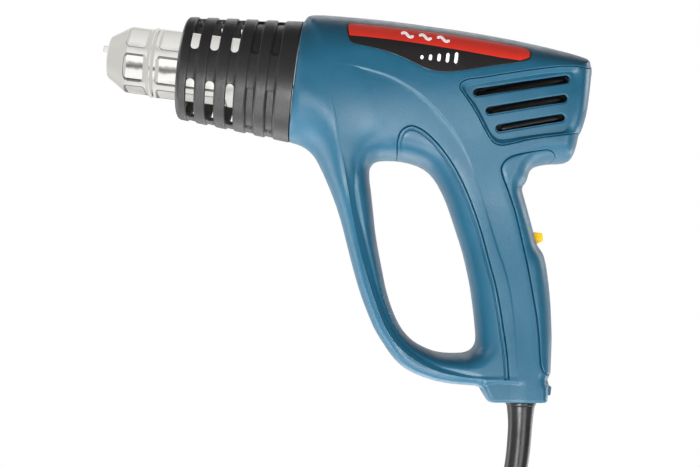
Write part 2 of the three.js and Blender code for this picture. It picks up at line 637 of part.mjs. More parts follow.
function rearCap() {
  const floorLine = spline(CAP_FLOOR, true, 9);
  const sunk = sheetSolid(offset(floorLine, 0.4), [],
    (x, z) => -(outerY(x, z) - CAP_SINK), (x, z) => outerY(x, z) - CAP_SINK, [], PATCH_GRID);
  const recess = throughPlate(floorLine).subtract(sunk).subtract(box(-80, 5, -12, 12, -40, 40));
  let cap = shell.intersect(capPanel.region).subtract(recess);
  for (const ends of SLOTS) {
    for (const side of [-1, 1]) {
      cap = cap.subtract(plate(obround(...ends, SLOT_R), ...sideSpan(side, 13, REACH)));
    }
  }
  return biggest(cap.subtract(rodY(...CAP_SCREW, 4.7, -REACH, REACH, 12)));
}
addPiece('rear_cap', rearCap(), BLUE);

// Dark louvre insert behind the cap's slots: a frame with three bars, (x, z) outline.
const GRILLE_OUTLINE = [
  [-55.4, 3.6], [-54, 5.6], [-15.5, 15.6], [-13.6, 14.8], [-13.2, -5.6], [-15, -6.6],
  [-43, -13.4], [-45, -12.6]];
function intakeGrille(side) {
  const barY = side * 23.4;
  const slitLimit = throughPlate([[-80, -40], [-6, -40], [-6, 13.2], [-80, 13.2]]);
  let grille = plate(GRILLE_OUTLINE, ...sideSpan(side, 22.2, 23.6));
  for (const [x0, z0, x1, z1] of SLOTS) {
    const inset = x0 < -55 ? 3.4 : 0;   // the top slot starts ahead of the frame
    const rise = inset * 0.28;
    const slit = obround(x0 + 3.6 + inset, z0 + 2.2 + rise, x1 - 2.6, z1 + 1.4, 0.55);
    const bar = [
      [x0 + 2.4 + inset, barY, z0 + rise],
      [(x0 + x1) / 2, barY, (z0 + z1) / 2],
      [x1 - 1.4, barY, z1]];
    grille = grille.subtract(throughPlate(slit).intersect(slitLimit));
    grille = grille.add(rodAlong(bar, 1.5, 2, 8));
  }
  return biggest(grille);
}
addPiece('intake_grille_left', intakeGrille(-1), BLACK);
addPiece('intake_grille_right', intakeGrille(1), BLACK);

// Switch frame: n points out of the handle's rear, t runs up the handle, y stays.
const SWITCH = { x: -20.4, z: -57.4, leanSine: 0.389 };
const KNOB_T = -8.2;         // centre of the slider knob along t at rest (off)
const SLIDER_TRAVEL = 12;    // three-position slide switch
const inSwitchFrame = (geometry) => solid(
  geometry.rotateY(-Math.asin(SWITCH.leanSine)).translate(SWITCH.x, 0, SWITCH.z));
const switchBox = (...limits) => inSwitchFrame(boxGeometry(...limits));
// Box around the knob's travel with given clearances below and above it.
const travelBox = (n0, n1, halfY, below, above) => switchBox(
  n0, n1, -halfY, halfY, KNOB_T - below, KNOB_T + SLIDER_TRAVEL + above);

// Rear grip cover, with the slot and recess that the slide switch works in.
const rearGripCover = () => biggest(shell.intersect(rearGripPanel.region)
  .subtract(travelBox(-9, 9, 3.5, 3.1, 3.1))
  .subtract(travelBox(0.15, 9, 6.6, 3.6, 4)));
addPiece('rear_grip_cover', rearGripCover(), BLUE_GRIP);
addPiece('front_grip_cover', biggest(shell.intersect(frontGripPanel.region)), BLUE_GRIP);

addPiece('label_left', patch(labelLine, -0.6, 0.12, -1), RED);
addPiece('label_right', patch(labelLine, -0.6, 0.12, 1), RED);

// ---------------------------------------------------------------- barrel guard
const GUARD_FRONT_X = -208.5;
const GUARD_REAR_X = -149.2;
const GUARD_FRONT_R = 26.6;
const GUARD_REAR_R = 31.5;
const GUARD_WALL = 2.4;
const GUARD_MOUTH_R = 20.6;
const NECK_R = BORE_R - 0.4;
const NECK_INNER_R = 23.2;
const NECK_LIP = { frontX: -145.6, rearX: -143.4, radius: 26.8 };
// Grooves round the guard, (front x, rear x).
const GROOVES = [
  [-203, -198.2], [-193.1, -188.1], [-182.7, -178.1], [-172.7, -167.7], [-162.5, -157.5]];
const GROOVE_DEPTH = 0.6;
const GROOVE_BEVEL = 0.4;
const SLOTTED_GROOVES = 3;

const guardR = (x) => GUARD_FRONT_R
  + ((GUARD_REAR_R - GUARD_FRONT_R) * (x - GUARD_FRONT_X)) / (GUARD_REAR_X - GUARD_FRONT_X);

// Slot with round ends in a groove, cut radially; angles are laid out on a mean radius.
function ventSlot(frontX, rearX, middleAngle) {
  const MEAN_R = 28;
  const STEPS = 3;
  const endR = (rearX - frontX) / 2 - 0.1;
  const span = (28.5 * Math.PI) / 180 - endR / MEAN_R;
  const halfOutline = [];   // (angle, x) from the slot's centre
  for (let i = 0; i <= STEPS; i++) halfOutline.push([-span + (2 * span * i) / STEPS, -endR]);
  for (let i = 1; i < STEPS; i++) {
    const t = (Math.PI * i) / STEPS;
    halfOutline.push([span + (endR / MEAN_R) * Math.sin(t), -endR * Math.cos(t)]);
  }
  const otherHalf = halfOutline.map(([angle, x]) => [-angle, -x]);
  const outline = [...halfOutline, ...otherHalf]
    .map(([angle, x]) => [angle, (frontX + rearX) / 2 + x]);

  const positions = [22.2, 36].flatMap((radius) => outline.flatMap(([angle, x]) => [
    x, -radius * Math.cos(middleAngle + angle), -radius * Math.sin(middleAngle + angle)]));
  const count = outline.length;
  const flat = outline.map(([angle, x]) => new THREE.Vector2(angle * MEAN_R, x));
  const indices = THREE.ShapeUtils.triangulateShape(flat, [])
    .flatMap(([i, j, k]) => [i, j, k, count + i, count + k, count + j]);
  for (let i = 0; i < count; i++) {
    const j = (i + 1) % count;
    indices.push(i, count + i, count + j, i, count + j, j);
  }
  return solid(bareGeometry(positions, indices));
}

function barrelGuard() {
  const grooves = GROOVES.flatMap(([front, rear]) => [
    [front, guardR(front)],
    [front + GROOVE_BEVEL, guardR(front) - GROOVE_DEPTH],
    [rear - GROOVE_BEVEL, guardR(rear) - GROOVE_DEPTH],
    [rear, guardR(rear)]]);
  let guard = turnedX(closeLoop([
    [GUARD_FRONT_X, GUARD_FRONT_R - 2.2],
    [GUARD_FRONT_X + 0.7, GUARD_FRONT_R - 0.7],
    [GUARD_FRONT_X + 2.2, guardR(GUARD_FRONT_X + 2.2)],
    ...grooves,
    [GUARD_REAR_X, GUARD_REAR_R],
    [GUARD_REAR_X, NECK_R],
    [NECK_LIP.frontX, NECK_R],
    [NECK_LIP.frontX, NECK_LIP.radius],
    [NECK_LIP.rearX, NECK_LIP.radius],
    [NECK_LIP.rearX, NECK_INNER_R],
    [GUARD_REAR_X, NECK_INNER_R],
    [GUARD_REAR_X - 3, GUARD_REAR_R - GUARD_WALL - 0.6],
    [GUARD_FRONT_X + 2.6, GUARD_FRONT_R - GUARD_WALL],
    [GUARD_FRONT_X + 2.6, GUARD_MOUTH_R],
    [GUARD_FRONT_X, GUARD_MOUTH_R]]), 24);
  for (const [front, rear] of GROOVES.slice(0, SLOTTED_GROOVES)) {
    for (let quarter = 0; quarter < 4; quarter++) {
      guard = guard.subtract(ventSlot(front, rear, Math.PI / 4 + (quarter * Math.PI) / 2));
    }
  }
  return biggest(guard);
}
addPiece('barrel_guard', barrelGuard(), BLACK);

// ---------------------------------------------------------------- steel tube and nozzle
const BARREL_FACETS = 30;
const TUBE_R = 17.9;
const TUBE_INNER_R = 17.1;
const NOSE_R = 17.2;         // nozzle outside radius
// Pressed flats, in degrees around the axis; each fades out at its ends and sides.
const FLATS = { pitch: 60, firstAngle: 19, halfAngle: 26, sideFade: 2, endFade: 2 };

// Turned part with six flats pressed between two x positions.
function fluted(profile, { frontX, rearX, radius, apothem }) {
  const geometry = latheX(profile, BARREL_FACETS);
  const position = geometry.attributes.position;
  for (let i = 0; i < position.count; i++) {
    const [x, y, z] = [position.getX(i), position.getY(i), position.getZ(i)];
    if (x < frontX - 0.01 || x > rearX + 0.01) continue;
    const around = (Math.atan2(-z, -y) * 180) / Math.PI;
    let angle = (around - FLATS.firstAngle + 3600) % FLATS.pitch;
    if (angle > FLATS.pitch / 2) angle -= FLATS.pitch;
    if (Math.abs(angle) > FLATS.halfAngle) continue;
    const fade = Math.min(1, Math.min(x - frontX, rearX - x) / FLATS.endFade,
      (FLATS.halfAngle - Math.abs(angle)) / FLATS.sideFade);
    const flatR = apothem / Math.cos((angle * Math.PI) / 180);
    const change = Math.min(0, flatR - radius) * Math.max(0, fade);
    const startR = Math.hypot(y, z);
    const scale = (startR + change) / startR;
    position.setXYZ(i, x, y * scale, z * scale);
  }
  return solid(geometry);
}

// Steel tube with a flange at its rear end. The flats press the wall's both faces.
function heaterTube() {
  const profile = closeLoop([
    [-221.6, TUBE_INNER_R], [-221.6, TUBE_R], [-219.5, TUBE_R], [-217.5, TUBE_R],
    [-184, TUBE_R], [-182, TUBE_R], [-117, TUBE_R], [-117, 24.6], [-115.8, 24.6],
    [-115.8, TUBE_INNER_R], [-182, TUBE_INNER_R], [-184, TUBE_INNER_R],
    [-217.5, TUBE_INNER_R], [-219.5, TUBE_INNER_R]]);
  return fluted(profile, { frontX: -219.5, rearX: -182, radius: TUBE_R, apothem: 16.3 })
    .translate([0, 0, LIFT]);
}
addPiece('heater_tube', heaterTube(), STEEL);

// Cone with a bead at its rear, and a small tilted block on the rim.
function nozzle() {
  const profile = closeLoop([
    [TIP_X, MOUTH_R], [TIP_X, 10.2], [-246.1, 11], [-237.4, 16.6], [-236, NOSE_R],
    [-234, NOSE_R], [-226.5, NOSE_R], [-224.6, NOSE_R], [-223.8, NOSE_R + 0.9],
    [-222.6, NOSE_R + 0.9], [-222.1, NOSE_R + 0.2], [-222.1, 16.6], [-218, 14.9],
    [-216, 14.6], [-216, 13.9], [-222.4, 15.6], [-226.5, 16.3], [-234, 16.3],
    [-236.4, 16.1], [-245.3, 10.2], [TIP_X + 0.9, MOUTH_R]]);
  const rimBlock = solid(new THREE.BoxGeometry(5.4, 2.4, 3.2)
    .rotateX(0.75).rotateY(-0.12).translate(-247.8, -6.6, 6.9))
    .subtract(discX(-260, -240, MOUTH_R, BARREL_FACETS));
  const cone = fluted(profile, { frontX: -236, rearX: -224.6, radius: NOSE_R, apothem: 15.6 });
  return biggest(cone.add(rimBlock)).translate([0, 0, LIFT]);
}
addPiece('nozzle', nozzle(), CHROME);

// ---------------------------------------------------------------- heater
addPiece('mica_sleeve', ringX(-212, -119.5, 13.2, 13.7, 18), MICA);

// Six-pointed star section with a round bore.
function ceramicCore() {
  const TIP_R = 9.2;
  const VALLEY_R = 5.2;
  const SHOULDER_R = 8.2;
  const star = new THREE.Shape(Array.from({ length: 24 }, (_, i) => {
    const radius = [TIP_R, SHOULDER_R, VALLEY_R, SHOULDER_R][i % 4];
    const angle = (i * Math.PI) / 12;
    return new THREE.Vector2(radius * Math.cos(angle), radius * Math.sin(angle));
  }));
  star.holes.push(new THREE.Path().absarc(0, 0, 2.6, 0, Math.PI * 2, true));
  return extrudedX(star, -206, 84, 6);
}
addPiece('ceramic_core', ceramicCore(), CERAMIC);

function heatingCoil() {
  const POINTS = 60;
  const LENGTH = 78;
  const COIL_R = 11.2;
  const points = [];
  for (let i = 0; i <= POINTS; i++) {
    const angle = (i * Math.PI) / 4;
    const x = -204 + (i * LENGTH) / POINTS;
    points.push([x, COIL_R * Math.cos(angle), COIL_R * Math.sin(angle)]);
  }
  return rodAlong(points, 0.9, 64, 4);
}
addPiece('heating_coil', heatingCoil(), COPPER);

addPiece('heater_end_disc', turnedX(closeLoop([
  [-118.9, 2], [-118.9, 12.6], [-115, 12.6], [-115, 22.5], [-113.6, 22.5], [-113.6, 2]]), 24), MICA);
addPiece('thermal_cutout', pinX(4, 5, 16, [-110.4, 0, 8]), STEEL);

// ---------------------------------------------------------------- blower
// Thin tube with a front flange, and an inner ring held by four spokes.
function fanShroud() {
  let shroud = turnedX(closeLoop([
    [-108, 25.6], [-108, 27.4], [-105.6, 27.4], [-105, 26.4], [-58, 26.4], [-58, 25.2],
    [-105, 25.2]]), 18).add(ringX(-73, -66, 14.3, 16, 14));
  for (let i = 0; i < 4; i++) {
    shroud = shroud.add(solid(new THREE.BoxGeometry(6, 1.8, 10.4)
      .translate(-69.5, 0, 20.6).rotateX((i * Math.PI) / 2 + Math.PI / 4)));
  }
  return shroud;
}
addPiece('fan_shroud', fanShroud(), GREY);

// Ring with a notch low on its left, where the heater lead passes.
addPiece('heater_mount_ring', turnedX(closeLoop([
  [-114.6, 26.6], [-114.6, 29.2], [-108.4, 29.2], [-108.4, 21], [-110, 21], [-110, 26.6]]), 24)
  .subtract(box(-120, -100, -9.5, -4.5, -32, -18)), GREY);

addPiece('motor_can', turnedX(closeLoop([
  [-79, 4.4], [-77.2, 4.4], [-77.2, 13.9], [-42, 13.9], [-42, 12.9], [-76, 12.9],
  [-76, 2], [-78, 2], [-79, 2]]), 28), STEEL);

function motorMagnet(middleAngle) {
  const HALF_ANGLE = 1.1;
  const arc = new THREE.Shape();
  arc.absarc(0, 0, 12.5, middleAngle - HALF_ANGLE, middleAngle + HALF_ANGLE, false);
  arc.absarc(0, 0, 10.3, middleAngle + HALF_ANGLE, middleAngle - HALF_ANGLE, true);
  return extrudedX(arc, -73, 22, 8);
}
[0, Math.PI].forEach((angle, i) => {
  addPiece(`motor_magnet_${i + 1}`, motorMagnet(angle), GREY);
});

[6.6, -6.6].forEach((y, i) => {
  addPiece(`carbon_brush_${i + 1}`, box(-49.5, -46.5, y - 2, y + 2, -1.5, 1.5), BLACK);
});
addPiece('motor_end_cap', turnedX(closeLoop([
  [-41.6, 2], [-41.6, 13.6], [-39.4, 13.6], [-38, 9], [-38, 2]]), 24), BLACK);
addPiece('motor_armature', turnedX([
  [-88, 0], [-88, 1.1], [-73, 1.1], [-73, 9.8], [-52, 9.8], [-52, 4.2], [-44, 4.2],
  [-44, 1.1], [-36.5, 1.1], [-36.5, 0]], 16), COPPER);

function fanImpeller() {
  const BLADES = 7;
  let fan = turnedX(closeLoop([
    [-92, 1.5], [-92, 5], [-89, 8.2], [-81, 9], [-81, 1.5]]), 24);
  for (let i = 0; i < BLADES; i++) {
    fan = fan.add(solid(new THREE.BoxGeometry(9.4, 1.3, 16.6)
      .rotateZ(0.62).translate(-86, 0, 15.6).rotateX((i * 2 * Math.PI) / BLADES)));
  }
  return biggest(fan);
}
addPiece('fan_impeller', fanImpeller(), NATURAL);

addPiece('rectifier_board', ringX(-35.4, -34, 3, 12.6, 24), BOARD);
[[7.5, 7], [7.5, -7], [-7.5, 7], [-7.5, -7]].forEach(([y, z], i) => {
  addPiece(`rectifier_diode_${i + 1}`, rodY(-32.1, z, 1.5, y - 2.8, y + 2.8, 10), BLACK);
});
addPiece('suppression_capacitor', box(-30.2, -24.6, -7, 7, -4, 4.5), YELLOW);

// ---------------------------------------------------------------- slide switch
addPiece('switch_body', switchBox(-18.5, -4.2, -7.5, 7.5, -17, 14)
  .subtract(travelBox(-11, 0, 3.3, 3.3, 3.3)), BLACK);

// Knob with a sloped side profile, (n, t), on a square stem.
function switchSlider() {
  const side = [[0.4, -3.05], [3.95, -2.6], [4.6, 1.0], [4.3, 1.7], [0.4, 3.3]];
  const knob = inSwitchFrame(plateGeometry(side, -6, 6).translate(0, 0, KNOB_T));
  return biggest(knob.add(switchBox(-9.8, 1, -2.9, 2.9, KNOB_T - 2.6, KNOB_T + 2.6)));
}
addPiece('switch_slider', switchSlider(), YELLOW);
[-11, -1.5, 8].forEach((t, i) => {
  addPiece(`switch_terminal_${i + 1}`, switchBox(-23, -18.8, -2.4, 2.4, t - 0.5, t + 0.5), BRASS);
});

// ---------------------------------------------------------------- mains cord
const CORD_PATH = [
  [-22, 0, -122], [-17.6, 0, -131.5], [-13.5, 0, -147], [-11.4, 0, -165], [-11.0, 0, -183],
  [-13.2, 0, -203], [-22.8, 0, -221], [-42, 0, -231], [-60, 0, -234.5]];
const cordRod = (radius) => rodAlong(CORD_PATH, radius, 16, 8);
addPiece('power_cord', cordRod(CORD_R), RUBBER);

// Tapering sleeve below the foot, with a neck and a flange inside it.
function cordBoot() {
  const BEND = 0.34;   // share of the length where the taper eases
  const radiusAt = (t) => (t < BEND
    ? 7.9 - 1.7 * (t / BEND) * (2 - t / BEND)
    : 6.2 - 0.7 * (t - BEND));
  const sleevePath = [[-12.8, 0, -149.5], [-11.4, 0, -165], [-11.0, 0, -183], [-12.5, 0, -198]];
  return biggest(swept(sleevePath, radiusAt, 8, 14)
    .add(rodAlong([[-13.7, 0, -145.0], [-13.5, 0, -146.8], [-12.9, 0, -150.4]], 6.9, 2, 14))
    .add(rodAlong([[-14.15, 0, -141.5], [-13.9, 0, -143.5]], 7.8, 1, 14))
    .add(rodAlong([[-14.0, 0, -142.8], [-13.65, 0, -146.0]], 6.9, 1, 14))
    .subtract(cordRod(CORD_R + 0.55)));
}
addPiece('cord_boot', cordBoot(), RUBBER);

function cordClamp() {
  let clamp = box(-31, -7.4, -7.4, -4.2, CLAMP_Z - 2.6, CLAMP_Z + 2.6);
  for (const x of CLAMP_SCREW_XS) clamp = clamp.subtract(rodY(x, CLAMP_Z, 1.8, -9, 0, 12));
  return clamp;
}
addPiece('cord_clamp', cordClamp(), GREY);

// Screw profiles, (y, radius).
const CLAMP_SCREW_PROFILE = [
  [-10, 0], [-10, 1.2], [-9.4, 2.5], [-7.75, 2.5], [-7.75, 1], [3.6, 1], [4, 0]];
const HOUSING_SCREW_PROFILE = [
  [-9.2, 0], [-8, 1.4], [SCREW_HEAD_Y, 1.4], [SCREW_HEAD_Y, 3.1], [SCREW_HEAD_Y + 1.4, 2.9],
  [SCREW_HEAD_Y + 2, 1.6], [SCREW_HEAD_Y + 2, 0]];
CLAMP_SCREW_XS.forEach((x, i) => {
  addPiece(`clamp_screw_${i + 1}`, turnedY(CLAMP_SCREW_PROFILE, x, CLAMP_Z, 8), STEEL);
});
SCREWS.forEach(([x, z], i) => {
  addPiece(`housing_screw_${i + 1}`, turnedY(HOUSING_SCREW_PROFILE, x, z, 8), STEEL);
});
addPiece('terminal_block', box(-34, -20, -6, 6, -117, -109), NATURAL);

// Plug: an oval body and two round pins.
const PLUG_Z = -234.6;
const PIN_PITCH = 19;
const PIN_LENGTH = 19;
const PIN_REAR_X = -96.8;
const PLUG_PROFILE = [   // (x from the cord end, radius)
  [0, 0], [0, 6.2], [-2, 6.2], [-6, 7.4], [-14, 8.4], [-35, 8.4], [-35, 0]];
addPiece('plug_body', solid(
  latheX(PLUG_PROFILE, 20).scale(1, 2.05, 1).translate(-61.5, 0, PLUG_Z)), RUBBER);
[-PIN_PITCH / 2, PIN_PITCH / 2].forEach((y, i) => {
  const centre = [PIN_REAR_X - PIN_LENGTH / 2, y, PLUG_Z];
  addPiece(`plug_pin_${i + 1}`, pinX(2.4, PIN_LENGTH, 14, centre), BRASS);
});

// ---------------------------------------------------------------- leads
const LEAD_R = 0.9;
// Name, steps along the lead, (x, y, z) points.
const LEADS = [
  ['lead_supply', 4, [[-23.2, 1.6, -120], [-24.4, 1.8, -118.8], [-25, 1.8, -117.4]]],
  ['lead_switch', 9, [[-27, 0, -108.6], [-31, 0, -96], [-35.2, 0, -84], [-36, 0, -77.4]]],
  ['lead_motor', 12, [
    [-43.4, 1, -56.2], [-46, 1.5, -42], [-43.4, 1.5, -26], [-39.6, 1, -16.4], [-35, 0, -13.9]]],
  ['lead_heater', 18, [
    [-46.2, -2, -58.5], [-54, -4, -44], [-64, -5, -33], [-84, -6, -29.2], [-101, -7, -28.8],
    [-108.9, -7, -28.2], [-111.4, -7, -25], [-112.7, -6, -19.6]]],
];
for (const [name, steps, points] of LEADS) {
  addPiece(name, rodAlong(points, LEAD_R, steps, 6), RUBBER);
}

export default group;
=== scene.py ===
"""A pistol-shaped hot-air gun with its cord and plug, a pale backdrop, lights and a camera.

The barrel lies along x with the nozzle towards -x and the intake cap at x = 0. The grip hangs
down (-z). y runs across the gun, which parts at y = 0: its left side is -y, its right side +y.
Modelling is in millimetres, turned into metres when a mesh is made.
"""
import math
import bpy
import numpy as np
from mathutils import Vector, Matrix
from mathutils.geometry import delaunay_2d_cdt


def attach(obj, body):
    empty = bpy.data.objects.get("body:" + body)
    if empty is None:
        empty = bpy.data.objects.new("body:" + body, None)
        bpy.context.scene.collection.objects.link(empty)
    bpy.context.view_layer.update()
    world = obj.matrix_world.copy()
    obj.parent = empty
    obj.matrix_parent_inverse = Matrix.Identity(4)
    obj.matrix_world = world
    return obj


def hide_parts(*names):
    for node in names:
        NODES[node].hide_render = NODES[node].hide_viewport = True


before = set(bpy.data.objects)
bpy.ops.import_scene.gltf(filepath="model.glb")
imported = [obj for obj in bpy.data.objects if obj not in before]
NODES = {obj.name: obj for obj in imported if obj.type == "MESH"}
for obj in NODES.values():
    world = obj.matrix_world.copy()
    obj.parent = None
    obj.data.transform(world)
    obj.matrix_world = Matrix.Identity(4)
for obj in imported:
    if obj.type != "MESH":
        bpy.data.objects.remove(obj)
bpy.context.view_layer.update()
MM = 0.001

# ---------------------------------------------------------------- side view outlines: (x, z)
FRONT_X = -148.8
# top front corner, along the top, down the back of the grip to its base
EDGE_REAR = [
    (FRONT_X, 31.6), (-147.9, 33.4), (-146.3, 34.6), (-143.4, 35.3), (-136, 35.9), (-125.7, 36.3),
    (-112.7, 36.7), (-99.6, 36.8), (-83.8, 36.6), (-68.1, 36.3), (-52.3, 35.6), (-39, 34.7),
    (-25.8, 33.4), (-15.1, 32), (-7.1, 30.6), (-2.8, 29.3), (-0.8, 27.3), (-0.3, 25.2),
    (0.4, 24.2), (0.6, 22), (0.6, 17), (0.6, 9.4), (0.5, 1.2), (0.0, -3.3), (-0.8, -7.6),
    (-1.4, -9.6), (-2.0, -10.8), (-2.1, -12.4), (-2.5, -16.7), (-3.4, -20.8), (-5.0, -23.7),
    (-8.3, -24.9), (-12.1, -25.5), (-17.7, -26.9), (-21.6, -28.7), (-23.6, -30.7), (-24.4, -33),
    (-24.7, -35.4), (-25.3, -37.4), (-26.5, -39.6), (-26.5, -41.2), (-25.1, -44.6), (-22.4, -51),
    (-18.5, -60.4), (-15.3, -67.8), (-13.6, -69.9), (-11.8, -72), (-9.8, -76.5), (-8, -82.5),
    (-5.9, -90.7), (-4.3, -98.3), (-2.8, -107), (-1.6, -115.3), (-0.9, -123.5), (-0.5, -129.8),
    (-0.4, -133.0), (-0.8, -134.2), (-1.5, -135.2), (-1.5, -136.2), (-0.9, -137.3),
    (-0.7, -138.6), (-0.65, -141.0), (-0.65, -144.0), (-0.7, -147.145)]
# front of the grip's base, along the bow, up to the lower front corner
EDGE_BOW = [
    (-30.7, -151.1), (-33.2, -147.7), (-35.3, -144.9), (-36.2, -144.3), (-38.5, -144.4),
    (-42.1, -144.5), (-50.4, -144.9), (-58.4, -144.5), (-66.4, -143), (-73, -140.9),
    (-78.6, -137.8), (-83.3, -133.7), (-88.2, -128.1), (-92.6, -122.6), (-97.2, -115),
    (-101.6, -106.7), (-105.7, -97.8), (-109.8, -87.8), (-113.7, -77.8), (-117.5, -68.3),
    (-121.4, -59.9), (-125.9, -51.6), (-130.9, -43.3), (-135, -37.6), (-139.1, -34.2),
    (-143.8, -32.2), (FRONT_X, -31.3)]
FOOT_SIDE = 4  # the first steps of EDGE_BOW are the front side of the foot
# the opening between grip and bow
LOOP = [
    (-98.2, -34.7), (-90.6, -34.2), (-85.3, -34.6), (-80.3, -35.7), (-75.7, -37.9),
    (-71.5, -41.6), (-68.2, -45.9), (-64.2, -52.4), (-60.5, -59.8), (-56.8, -67.7),
    (-53.1, -75.7), (-50, -83.7), (-47.2, -91.7), (-44.9, -99.8), (-42.8, -107.9), (-41, -116.1),
    (-40.2, -120.7), (-40.5, -123.9), (-42, -126.4), (-44.7, -128.1), (-49.8, -129.2),
    (-55, -129.7), (-60.8, -129.5), (-66.7, -128), (-72.8, -125.3), (-78.1, -121), (-82, -116),
    (-85.8, -109.4), (-89.7, -100.6), (-93.2, -90.3), (-96.2, -81.1), (-98.7, -72.6),
    (-101, -62.9), (-103.4, -52.7), (-105.4, -44.5), (-105.7, -39.6), (-103.6, -36.3)]
CAP_SEAM = [
    (6, 24.3), (0.6, 24.0), (-4.8, 21.9), (-11, 21.9), (-17.8, 20.9), (-27.5, 18.6),
    (-42.3, 14.5), (-57, 10.1), (-64.2, 8.2), (-66.8, 6.2), (-66.9, 3.7), (-64.6, 1.2),
    (-58.6, -5.4), (-53, -12.9), (-49.4, -17.5), (-46.4, -20.4), (-42.6, -21.2), (-37.9, -19.9),
    (-28.1, -16.4), (-18.3, -13.8), (-8.3, -11.3), (-2.6, -9.9), (6, -9.2)]
CAP_FLOOR = [
    (-11.9, 18.7), (-17.5, 18.2), (-27.8, 15.9), (-42.5, 11.6), (-56.5, 7.5), (-62.0, 5.6),
    (-64.2, 4.6), (-63.8, 2.6), (-58.3, -2.8), (-52.2, -10.7), (-48, -16.3), (-45.2, -18.2),
    (-42, -18.3), (-33.2, -15.9), (-23.3, -13.2), (-13.0, -10.6), (-11.6, -9.6), (-11.4, -5.9),
    (-11.7, 6.1)]
REAR_SEAM = [
    (-14.9, -33), (-14.7, -26.4), (-13.9, -23.6), (-16.1, -21.4), (-18.9, -20.6), (-22.9, -21.4),
    (-32.3, -24.3), (-36.9, -26.3), (-39.7, -29.1), (-40.8, -32.4), (-39.6, -36), (-35.1, -44.1),
    (-30.9, -52.4), (-27.7, -60.3), (-24.8, -68.2), (-21.7, -76.8), (-17.9, -88.3),
    (-15.4, -96.2), (-13, -104), (-10.4, -115), (-8.8, -123.8), (-7.4, -129.4), (-4.7, -132.4),
    (7, -134)]
PALM_SEAM = [
    (-92.5, -40), (-92.6, -34.5), (-94, -26), (-92.6, -20.2), (-88.6, -17.4), (-83.3, -18.3),
    (-75.4, -23.2), (-67.1, -31.2), (-58.9, -42), (-52.7, -52.1), (-47.6, -62), (-43.9, -70.4),
    (-40.4, -79), (-34.6, -93.4), (-28.5, -113.5), (-25.2, -126), (-23.0, -137.3)]
PALM_CLOSE = [(-23.0, -137.3), (-44, -139.0), (-45.6, -133), (-46.5, -122)]
LABEL = [
    (-126.4, 29.6), (-125, 30.9), (-122.3, 31.2), (-114.3, 31.4), (-105, 31.5), (-96, 31.6),
    (-77, 31.4), (-58.8, 30.8), (-45.1, 29.8), (-36.4, 28.8), (-33.8, 26.6), (-34, 22.8),
    (-37.8, 20.6), (-53.4, 16.2), (-66.2, 12.4), (-73.2, 10.8), (-79.4, 10.3), (-84.2, 10.9),
    (-91.4, 13.2), (-100.7, 16.1), (-111.6, 18.1), (-119.8, 19), (-123.2, 19.9), (-124.9, 22.4)]
LABEL_SPLIT = [
    (-130, 23.0), (-124.3, 23.2), (-103.3, 23.4), (-76.3, 22.6), (-49.3, 21.2), (-37.6, 20.9),
    (-28, 20.6)]
# crease and ridge together bound the D-shaped field; the valley runs inside it along the bow
CREASE = [
    (-137.6, 9.0), (-129.8, 8.6), (-119.3, 8.2), (-109.4, 6.9), (-101.1, 5.1), (-93.7, 2.3),
    (-86.7, -1.1), (-76.7, -8.0), (-66.4, -17.4), (-57.9, -29.0), (-50.1, -43.1), (-43.1, -57.9),
    (-36.7, -72.0), (-31.7, -82.2), (-27.4, -93.3), (-24.0, -106.0), (-20.9, -120.8),
    (-18.3, -136.6)]
RIDGE = [
    (-18.3, -136.6), (-24.0, -137.5), (-36.6, -139.2), (-47.6, -139.4), (-57.9, -138.3),
    (-68.5, -135.2), (-78.5, -129.7), (-87.3, -120.5), (-94.5, -107.6), (-100.9, -93.6),
    (-104.9, -84.2), (-108.9, -73.4), (-112.6, -62.4), (-115.2, -53.6), (-119.2, -40.6),
    (-122.6, -29.6), (-127.4, -15.0), (-130.1, -8.0), (-134, 3), (-137.6, 9.0)]
VALLEY = [
    (-96, -22.2), (-101, -22.9), (-106.1, -25.6), (-109, -28.6), (-111.6, -32.6), (-113, -37.4),
    (-112.9, -45), (-111.5, -54), (-108.9, -62.6), (-103.8, -76.7), (-98.9, -89.5),
    (-93.1, -104), (-85.9, -117.4), (-78, -126.6), (-68.8, -132.4), (-58.1, -136.2),
    (-47, -137.7), (-41, -138.2), (-33, -138.3)]
SCREWS = [
    (-137, 29.2), (-19.5, 26.6), (-33, -25.6), (-127.5, -38.5), (-100.2, -92.5), (-24.5, -99),
    (-58, -137.2)]
# intake slots: x, z of the front end, x, z of the rear end
SLOTS = [(-58, 2.7, -15, 14.9), (-50.6, -5.3, -15, 5.2), (-44.4, -13.2, -15, -4.4)]

